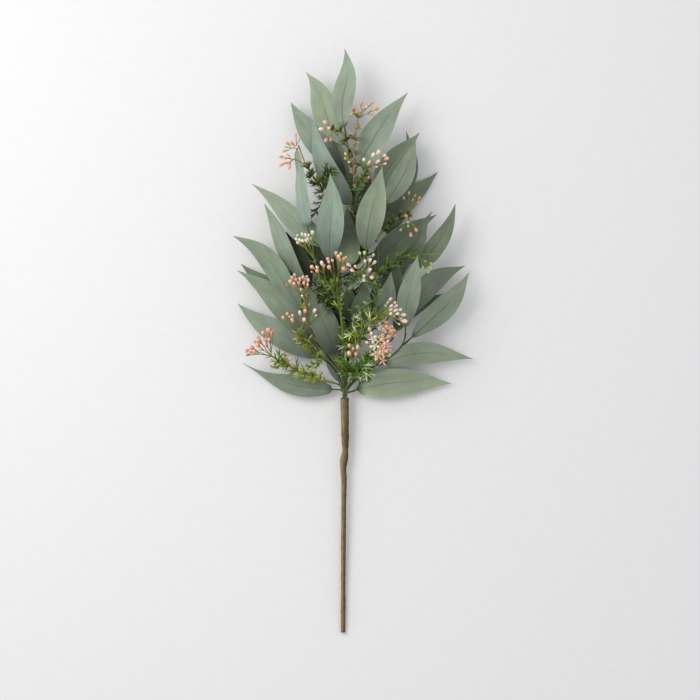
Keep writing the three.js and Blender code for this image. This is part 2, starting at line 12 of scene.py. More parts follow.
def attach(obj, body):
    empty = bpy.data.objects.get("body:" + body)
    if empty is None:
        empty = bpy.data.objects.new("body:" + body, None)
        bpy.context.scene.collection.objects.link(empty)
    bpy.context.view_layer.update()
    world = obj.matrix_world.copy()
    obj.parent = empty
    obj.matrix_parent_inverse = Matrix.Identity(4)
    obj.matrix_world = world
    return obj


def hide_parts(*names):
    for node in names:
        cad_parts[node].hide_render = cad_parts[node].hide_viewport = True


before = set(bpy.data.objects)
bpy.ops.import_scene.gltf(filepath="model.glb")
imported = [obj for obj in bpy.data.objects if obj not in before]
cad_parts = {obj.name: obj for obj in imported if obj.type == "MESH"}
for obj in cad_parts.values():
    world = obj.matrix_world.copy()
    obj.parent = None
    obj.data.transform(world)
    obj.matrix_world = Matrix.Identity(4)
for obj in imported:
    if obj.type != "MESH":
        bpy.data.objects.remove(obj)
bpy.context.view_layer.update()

MM = 0.001
UP = np.array([0.0, 0.0, 1.0])
EAST = np.array([1.0, 0.0, 0.0])
NORTH = np.array([0.0, 1.0, 0.0])
GOLDEN_ANGLE = math.pi * (3 - math.sqrt(5))
# A direction that rises more than this is steep, and its sides are measured from EAST.
STEEP = 0.9

# Blades. Widths, folds and places repeat the part's source.
BLADE_SEED = 400
PETIOLE_LENGTH = 7
PETIOLE_HALF_WIDTH = 0.8
PETIOLE_THICKNESS = 1.5
PETIOLE_SHARE = 0.12
PETIOLE_STEPS = 6
PETIOLE_POWER = 1.5
TIP_HALF_WIDTH = 0.35
WIDEST_AT = 0.42
RIPPLE_HEIGHT = 1
RIPPLE_PACE = 7
RIPPLE_SHIFT = 2.4
RIPPLE_POWER = 1.2
CLOTH_THICKNESS = 0.5
CLOTH_EDGE = 0.18
THINNEST = 0.08
BLADE_STEPS = 68
BLADE_STEP_EASE = 0.94
BLADE_POINTS = 19
FOLD_POWER = 1.4
RIB_HALF_WIDTH = 0.8
RIB_DEPTH = 0.3
RIB_RIDGE = 0.45
RIB_FADE = 0.4
EDGE_WAVE = 0.6
EDGE_WAVES = 2.6
EDGE_WAVE_SHIFT = 1.9
EDGE_WAVE_POWER = 2.5
BLADE_TWIST = 16
BLADE_CROWN = 0.07
# Painted shade toward a blade's root, standing for the shade deep in the spray: its usual strength, where it
# ends, its reach and its curve.
PAINTED_ROOT_SHADE = 0.42
PAINTED_ROOT_SHADE_END = 0.5
PAINTED_ROOT_SHADE_REACH = 0.42
PAINTED_ROOT_SHADE_POWER = 1.1
FACE_SHADES = (0.94, 1.06)
BACK_SHADES = (0.85, 1.0)
TIP_WARMTH = np.array([1.03, 1.02, 0.94])

# Wrapped stem.
STEM_SIDES = 28
STEM_STEPS = 260
WRAP_SINK = 0.07
KNOB_HEIGHT = 0.35
WRAP_PITCH = 9
WRAP_STEP = 0.22
RAGGED_RIM = 1.3
TWISTED_FROM = -150
TWISTED_TO = -88
TWIST_EASE = 14
FLOOR_GAP = 0.05
# Narrow and thick places of the wrap: where along the spray, over what length and how deep.
WAISTS = [(-122, 6, 0.26), (-143, 7, 0.12), (-106, 6, -0.14)]
# Small ledges where a turn of the wrap ends: where along the spray and how high.
LEDGES = [(-106, 0.07), (-150, 0.06)]
LEDGE_LENGTH = 1.5
# A band of the wrap is painted darker: its middle along the spray, its reach and how much darker.
DARK_BAND_AT = -108
DARK_BAND_REACH = 13
DARK_BAND_AMOUNT = 0.28
SOCKET_RADIUS = 3.2
# Rings of the hole's wall: how deep, and the share of the hole's radius there.
SOCKET_RINGS = [(0, 1.0), (3, 0.98), (8, 0.96), (13, 0.9)]

# Axis and twigs. Ranges here and below hold a low and a high limit.
BRANCH_SEED = 77
AXIS_SIDES = 14
AXIS_STEPS = 90
TWIG_SIDES = 9
TWIG_STEPS = 18
TWIG_RADIUS_START = 1.1
TWIG_RADIUS_END = 0.85
TWIG_LEAN = 0.4
TWIG_EASE = 0.35
TWIG_SWELLING = 0.45
FOOT_SWELLING = 0.3
SWELLING_REACH = 0.07
FOOT_SWELLING_REACH = 0.05
GREEN_TWIG_SHARE = 0.35
SEAT_GAP = 0.3
ROD_RADIUS = 0.95
ROD_RING = 2.1
ROD_SIDES = 8
ROD_STEPS = 29
ROD_START = -76
ROD_END = -20
ROD_END_STEP = 7
ROD_TWIST = 0.8

# Sprigs.
SPRIG_SEED = 11
EXTRA_SEED = 900
STALK_SIDES = 8
STALK_RADIUS_START = 1.05
STALK_RADIUS_END = 0.8
STALK_STEPS = 8
NODE_SWELLING = 0.12
NODE_REACH = 0.08
LINK_RADIUS = 0.75
THIN_SIDES = 6
THIN_STEPS = 5
SIDE_STALK_RADII = (0.62, 0.5)
PEDICEL_RADII = (0.42, 0.5)
STAR_STALK_RADII = (0.5, 0.42)
SHOOT_RADII = (0.6, 0.35)
SHOOT_STEPS = 8
KNOT_RADIUS = 1.45
KNOT_RINGS = 6
BUD_RADIUS = 2.1
BUD_WIDEST = 0.6
BUD_LENGTH = 5.8
BUD_SIDES = 10
BUD_RINGS = 9
BUD_LOBES = 5
BUD_LOBE_HEIGHT = 0.11
# Buds are painted darker in the grooves between lobes and lighter on the lobes: painted shade and light.
BUD_LOBE_PAINTED_SHADE = 0.14
BUD_HEIGHT_SPREAD = 3.5
BUD_LENGTHS = (0.92, 1.1)
BUD_SHADES = (0.86, 1.1)
BUD_GROUP = 3
PETALS = 5
PETAL_LEAN = (0.25, 0.6)
PETAL_LENGTHS = (0.8, 1.1)
PETAL_WIDTH = 0.95
PETAL_BEND = -0.15
STAR_LENGTHS = (6, 9)
STAR_HEIGHTS = (-1, 3)
# Petals of open flowers are painted darker toward their foot: painted shade.
STAR_PAINTED_FOOT_SHADE = 0.65
STAR_HEART_RADIUS = 0.9
STAR_HEART_LENGTH = 2.2
NEEDLE_HALF_WIDTH = 0.78
NEEDLE_HALF_THICKNESS = 0.22
NEEDLE_CLEARANCE = 1.5
# Needle leaves are painted darker toward the foot, where they crowd: painted shade.
NEEDLE_PAINTED_ROOT_SHADE = 0.5
PALE_TONE = 450
PALE_TIP_REACH = 1.2
GREEN_TIP_REACH = 2.4
NEEDLE_TRIES = 8
NEEDLE_LEAN = (0.6, 0.95)
NEEDLE_LENGTHS = (0.75, 1.2)
NEEDLE_SHADES = (0.72, 1.12)
NEEDLE_BEND = (-0.15, 0.3)
NEEDLE_STRETCH = 1.1
FROND_SHARE = 0.7
FROND_STRETCH = 1.15
TOOTH_LEAN = (0.5, 0.8)
TOOTH_RISE = (-0.2, 0.3)
TOOTH_LENGTHS = (0.8, 1.15)
TOOTH_BEND = 0.15
TOOTH_STEPS = 4
FIRST_TOOTH = 0.18
TEETH_SHARE = 0.5
TUFT_LEAN = (0.45, 1.25)
TUFT_LENGTHS = (0.7, 1.15)
TUFT_SHADES = (0.6, 1.3)
TUFT_BEND = (-0.1, 0.3)
SHOOT_LEAN = (0.45, 0.85)
SHOOT_RISE = (-0.35, 0.35)
SHOOT_LENGTHS = (0.7, 1.1)
SHOOT_SHADES = (0.6, 1.25)
SHOOT_BEND = 0.15
GRASS_SPREAD = (0.1, 0.5)
GRASS_LENGTHS = (20, 40)
GRASS_BEND = (0.25, 0.75)
GRASS_WIDTH = 0.5
GRASS_STEPS = 12
NODE_SPACING = 12
NODE_PULL = 0.85
LEAF_WIDTH = 1.3
LEAF_REACH = 1.25

# Looks of the blades' cloth: how it darkens, how fine its marks are, and heights in millimetres.
RIB_SHADE = 0.5
VEIN_SHADE = 0.045
VEIN_PITCH = 0.16
VEIN_LEAN = -1.15
WEAVE_PITCH = 13.0
WARM_PATCH = (1.02, 1.0, 0.9)
VEIN_HEIGHT = -0.05
RIB_HEIGHT = -0.15
THREAD_HEIGHT = 0.16
WEAVE_HEIGHT = 0.02
PATCH_HEIGHT = 1.6
# Looks of the paper wrap, in the same way.
LAP_PAINTED_SHADE = 0.3
CREASE_HEIGHT = 0.9
FIBRE_HEIGHT = 0.15

# Creases sharper than these angles, in degrees, stay sharp.
BLADE_CREASE = 50
STEM_CREASE = 60
TWIG_CREASE = 70
SPRIG_CREASE = 45

# Middle lines: places along them and their radius there.
STEM_LINE = [
    ((-11.2, -325.4, 2.5), 2.5),
    ((-11.0, -270, 4.5), 2.6),
    ((-10.8, -210, 6.7), 2.8),
    ((-11.2, -160, 8.5), 3.1),
    ((-11.4, -146, 9.0), 3.6),
    ((-9.4, -128, 9.7), 4.0),
    ((-10.2, -108, 10.4), 3.8),
    ((-9.6, -88, 11.1), 4.2),
    ((-9.1, -64, 12.0), 4.2),
]
AXIS_LINE = [
    ((-9.45, -77, 11.5), 2.5),
    ((-9.0, -60, 12.15), 2.5),
    ((-6.7, -20, 20), 2.2),
    ((-3.4, 24, 27), 1.9),
    ((-1, 69, 31), 1.7),
    ((1.7, 131, 33), 1.5),
    ((0, 178, 33), 1.3),
    ((-3.4, 204, 33), 1.2),
    ((-8.5, 230, 33), 1.0),
]

# How far the wrap leans to the right at heights along the spray.
STEM_LEAN = [(-230, 0), (-189, 0.5), (-167, 0.9), (-150, 1.2), (-143, 0.2), (-135, -0.6), (-121, 0.9),
             (-107, 1.4), (-87, 0.6), (-68, 0)]

# Tones are red, green and blue from 0 to 255, as a screen shows them.
SAGE = (143, 158, 142)
WARM_SAGE = (152, 166, 144)
COOL_SAGE = (143, 160, 149)
PLAIN_SAGE = (136, 150, 130)
SLATE_SAGE = (136, 153, 140)
GREY_SAGE = (129, 144, 127)
# The next five sages are darker tones for blades that lie low or under others: partly their own tone and
# partly painted shade, and the darkest is painted shadow.
DEEP_SAGE = (110, 124, 108)
MIST_SAGE = (102, 115, 100)
DARK_SAGE = (88, 100, 82)
SHADE_SAGE = (88, 101, 77)
PAINTED_SHADOW_SAGE = (56, 66, 48)
UNDERSIDE = (152, 164, 150)
PETIOLE_TONE = (84, 98, 58)

DARK_TWIG = (62, 72, 44)
BROWN_TWIG = (104, 82, 62)
GREEN_TWIG = (86, 118, 52)
AXIS_TONE = (66, 76, 46)
ROD_TONES = [GREEN_TWIG, BROWN_TWIG, DARK_TWIG] * 2 + [GREEN_TWIG]

# The wrap's tone on the side toward the lamp and on the side away from it: painted light and painted shade.
WRAP_PAINTED_LIT = (154, 134, 97)
WRAP_PAINTED_SHADE = (92, 75, 48)
# The inner wall of the open top, painted darker than the wrap: painted shade in the hollow.
WRAP_HOLLOW_SHADE = (70, 52, 34)
WRAP_CUT = (60, 44, 30)

LEAF_GREEN = (120, 148, 38)
DEEP_GREEN = (56, 76, 30)
GREY_GREEN = (112, 142, 100)
BRIGHT_GREEN = (90, 134, 36)
GRASS_GREEN = (82, 126, 56)
PALE_GREEN = (172, 174, 142)
# Near black green for foliage put in the dark gaps of the spray: painted shadow.
PAINTED_SHADOW_GREEN = (26, 42, 8)
PINK_TIP = (236, 186, 164)
WHITE_TIP = (240, 238, 220)
GREEN_TIP = (150, 170, 66)
STALK_GREEN = (108, 126, 44)
STALK_OLIVE = (122, 124, 46)
STALK_PINK = (150, 134, 100)
STALK_DEEP = (96, 112, 38)

# Blades: root, tip, widest width, the place along the main axis that the twig leaves, and the
# height of the arch. Bow and sway curve it sideways, roll turns it, and fold lifts its edges.
# Full and drawn shape the outline, deep scales the tone toward the root (below 1 painted shade, above 1
# painted light), and rib is how strong the rib shows.
Blade = namedtuple(
    "Blade", "root tip width start arch tone bow sway roll fold widest full drawn deep rib twist",
    defaults=(0, 0, 0, 0.1, WIDEST_AT, 0.78, 0.5, PAINTED_ROOT_SHADE, 0.5, 0))
BLADES = [
    Blade((-9.5, 238, 34), (-9.2, 325, 31), 24, 215, 4, (150, 165, 149), bow=-0.5, sway=3, roll=8,
        fold=0.12, widest=0.41, drawn=0.4, deep=1, rib=0.8),
    Blade((-9, 219, 29), (-52.6, 300.3, 23), 28, 190, 3, WARM_SAGE, bow=1, sway=3.2, roll=-6, widest=0.47,
        drawn=0.65, deep=1, rib=0.8),
    Blade((-9, 186, 22), (-69.4, 266.6, 15), 26.5, 160, 2, SAGE, bow=3, sway=-0.5, roll=-4, widest=0.47,
        drawn=0.35, deep=0.25, rib=0.25),
    Blade((-2.2, 152, 42), (-44, 246.4, 44), 25, 125, 3, COOL_SAGE, bow=9, roll=-12, fold=0.15, widest=0.36,
        deep=0.4, rib=0.25),
    Blade((-2.2, 170, 18), (-37, 250.3, 8), 25, 140, 1, SAGE, bow=3),
    Blade((5, 195, 33), (60.8, 276.1, 34), 31, 155, 5, SAGE, bow=3, sway=-0.5, roll=5, fold=0.12,
        widest=0.33, drawn=0.45, deep=1.12, rib=1),
    Blade((24.6, 161.8, 25), (73.7, 231.8, 28), 27, 130, 3, (122, 135, 118), bow=5, sway=1, roll=10,
        fold=0.45, deep=1.2, rib=1),
    Blade((36, 153, 36), (69.4, 223.4, 38), 23, 115, 3, GREY_SAGE, bow=-4.5, roll=4, fold=0.15, deep=0.8,
        rib=0.9),
    Blade((35.8, 140, 17), (59.4, 234.2, 17), 26, 108, 2, DEEP_SAGE, bow=-11, sway=2.5, roll=4, fold=-0.3,
        drawn=0.6),
    Blade((39.2, 120, 10), (94.4, 189.5, 0.5), 27, 85, 0, (120, 133, 114), bow=8, sway=3, fold=0.06,
        widest=0.37),
    Blade((54, 86, 34), (87.9, 144, 34), 17, 52, 3, MIST_SAGE, bow=-2, sway=-2.5, roll=25, fold=0.5,
        widest=0.34, deep=0.6),
    Blade((21.3, 78, 22), (93.2, 141.3, 16), 28, 50, 2, DEEP_SAGE, bow=6, widest=0.38),
    Blade((74, 82, 28), (113.8, 152.6, 27), 20.5, 25, 3, (110, 123, 103), bow=-4.7, sway=1, roll=10,
        fold=0.22, widest=0.35, drawn=0.4, deep=0.75),
    Blade((60, 26, 20), (124.5, 83.9, 18), 25, 12, 3, DEEP_SAGE, bow=11, widest=0.45),
    Blade((48, 12, 9), (100.6, 53.2, 8), 20, 0, 1, DEEP_SAGE, bow=9, sway=2, widest=0.38),
    Blade((66, 5, 15), (129.2, 76.8, 24), 25.5, -56, 4, GREY_SAGE, bow=-5, sway=1, widest=0.47, drawn=0.65,
        deep=1, rib=1),
    Blade((36, -24, 13), (133.3, -19.2, 12), 25, -58, 3, PLAIN_SAGE, bow=8.8, sway=1, roll=3, widest=0.38,
        deep=1.1, rib=0.7),
    Blade((5, -54, 11), (109.8, -46.8, 7), 31, -59, 2, WARM_SAGE, bow=5, sway=0.4, roll=2, fold=0.08,
        widest=0.38, drawn=0.45, deep=1.25, rib=0.6),
    Blade((-23, -53.5, 11), (-122.6, -24.7, 6), 22, -59, 2, GREY_SAGE, bow=7.5, roll=-4, widest=0.35,
        drawn=1.5, deep=0.87),
    Blade((-38, -16.5, 14), (-128.5, 42, 8), 30, -57, 2, SAGE, bow=2.6, sway=-1.6, roll=-4, widest=0.38,
        drawn=0.35),
    Blade((-44, 2, 24), (-128.8, 79, 20), 29, -50, 3, PLAIN_SAGE, bow=-6, sway=1, roll=-4, widest=0.38,
        deep=0.32),
    Blade((-56, 42, 13), (-125.1, 86.5, 0.5), 18, -10, 0, (120, 133, 111), bow=2.5, sway=-1, fold=0.06,
        drawn=0.3),
    Blade((-56, 35, 37), (-132.9, 117, 28), 23, -5, 4, GREY_SAGE, bow=-9.6, sway=2.7, roll=-5, fold=0.22,
        widest=0.47, drawn=0.35, deep=0.7),
    Blade((-52, 65, 30), (-98.6, 153, 25), 17, 25, 3, SAGE, bow=3, sway=1.6, roll=-10, fold=0.15,
        widest=0.46, drawn=0.3, deep=0.6, rib=0.3),
    Blade((-50, 58, 20), (-74.5, 122.6, 16), 27, 22, 1, PAINTED_SHADOW_SAGE),
    Blade((-26, 107, 38), (-112.2, 175, 33), 24, 75, 4, SAGE, bow=1.6, sway=2, roll=-5, widest=0.37,
        deep=0.8),
    Blade((-50.4, 127, 50), (-62.7, 211.3, 48), 22.5, 85, 2, COOL_SAGE, sway=1, roll=-55, fold=0.05,
        full=0.25, drawn=0.12, deep=0.87, rib=0.2),
    Blade((-26, 90, 62), (-25.2, 184.8, 72), 29.5, 64, 4, SLATE_SAGE, bow=-1.5, sway=1, roll=-4, fold=0.3,
        deep=0.5, rib=0.8),
    Blade((-3.4, 84, 48), (-6.8, 149.5, 56), 24, 55, 3, (96, 108, 90), fold=-0.3, widest=0.34, deep=2.1,
        rib=0.3),
    Blade((13.4, 94, 37), (-4.5, 145, 44), 20, 68, 2, PAINTED_SHADOW_SAGE, fold=0.5, deep=0.3),
    Blade((14.5, 101, 60), (32, 192.3, 70), 30, 65, 5, PLAIN_SAGE, bow=2, sway=1, roll=4, fold=0.18,
        deep=0.5, rib=0.9),
    Blade((8, 12, 50), (11.8, 70.6, 62), 21, -22, 4, DARK_SAGE, sway=1, fold=0.15),
    Blade((27, 22, 43), (42, 76.7, 52), 20, 2, 3, GREY_SAGE, bow=-3, roll=5, fold=-0.2, deep=0.7),
    Blade((58, 16, 56), (71, 95.1, 76), 24, -54, 4, GREY_SAGE, bow=2, sway=1, roll=5, fold=0.15, deep=0.75),
    Blade((42, 38, 31), (50.4, 91.3, 38), 18, 2, 2, DARK_SAGE, deep=0.7),
    Blade((-18, -19, 46), (-53.1, 62.2, 58), 29, -54, 5, MIST_SAGE, bow=-2.5, roll=-5, fold=-0.25,
        deep=0.2),
    Blade((-3, 22, 38), (-5, 64, 43), 18, -5, 2, SHADE_SAGE),
    Blade((8, -46, 15), (30, -3, 18), 20, -59, 2, GREY_SAGE, deep=0.85),
    Blade((-16, -44, 6), (-31, -2, 8), 13, -58, 2, GREY_SAGE, fold=0.15, deep=0.8),
    Blade((20, 40, 14), (78, 118, 4), 24, 0, 2, DARK_SAGE, bow=3, fold=0.08),
    Blade((-14, 60, 15), (-62, 142, 5), 29, 20, 1, PAINTED_SHADOW_SAGE, bow=3, fold=0.08),
    Blade((2, 110, 14), (14, 205, 4), 24, 75, 1, DARK_SAGE, bow=-3, fold=0.08),
    # This last blade is near black: painted shadow under the spray.
    Blade((-16, -10, 9), (-34, 66, 6), 34, -32, 2, (24, 32, 18), bow=7),
]

# Buds: tones of the cup at the foot, the body and the tip, and how slim and long the bud is.
Look = namedtuple("Look", "cup body tip slim long")
# The tip tone is partly the bud's own paler tip and partly a painted highlight.
PEACH = Look((150, 130, 72), (236, 176, 138), (250, 220, 194), 0.88, 1.1)
CORAL = Look((150, 122, 68), (232, 158, 126), (248, 198, 168), 0.72, 1.25)
BALL = Look((140, 124, 56), (232, 154, 112), (250, 210, 180), 0.98, 0.95)
ROSE = Look((168, 124, 80), (228, 164, 138), (248, 214, 196), 0.9, 1)
BLUSH = Look((180, 156, 100), (242, 206, 188), (254, 240, 232), 0.82, 1.1)
CREAM = Look((140, 160, 76), (226, 218, 188), (250, 246, 234), 0.9, 1)
AMBER = Look((96, 98, 42), (180, 124, 70), (216, 164, 106), 0.72, 1.1)
LIME = Look((110, 144, 50), (188, 200, 108), (232, 233, 172), 0.8, 0.9)
ORANGE = Look((160, 140, 56), (234, 160, 92), (249, 202, 132), 0.85, 1.1)
CLUB = Look((150, 128, 66), (232, 158, 124), (250, 206, 176), 1.02, 0.95)
HAZE = Look((112, 102, 70), (176, 138, 114), (206, 176, 152), 0.6, 1)

# Tones of needle leaves and of their tips, and the share of leaves with such a tip.
Tones = namedtuple("Tones", "needle tip tipped")
# Leaves in painted shadow, near black, for the dark gaps inside the spray.
PAINTED_SHADOW_TONES = Tones(PAINTED_SHADOW_GREEN, LEAF_GREEN, 0.75)
PALE = Tones((146, 172, 84), WHITE_TIP, 1)
BLUSHING = Tones((196, 168, 128), (244, 218, 204), 1)

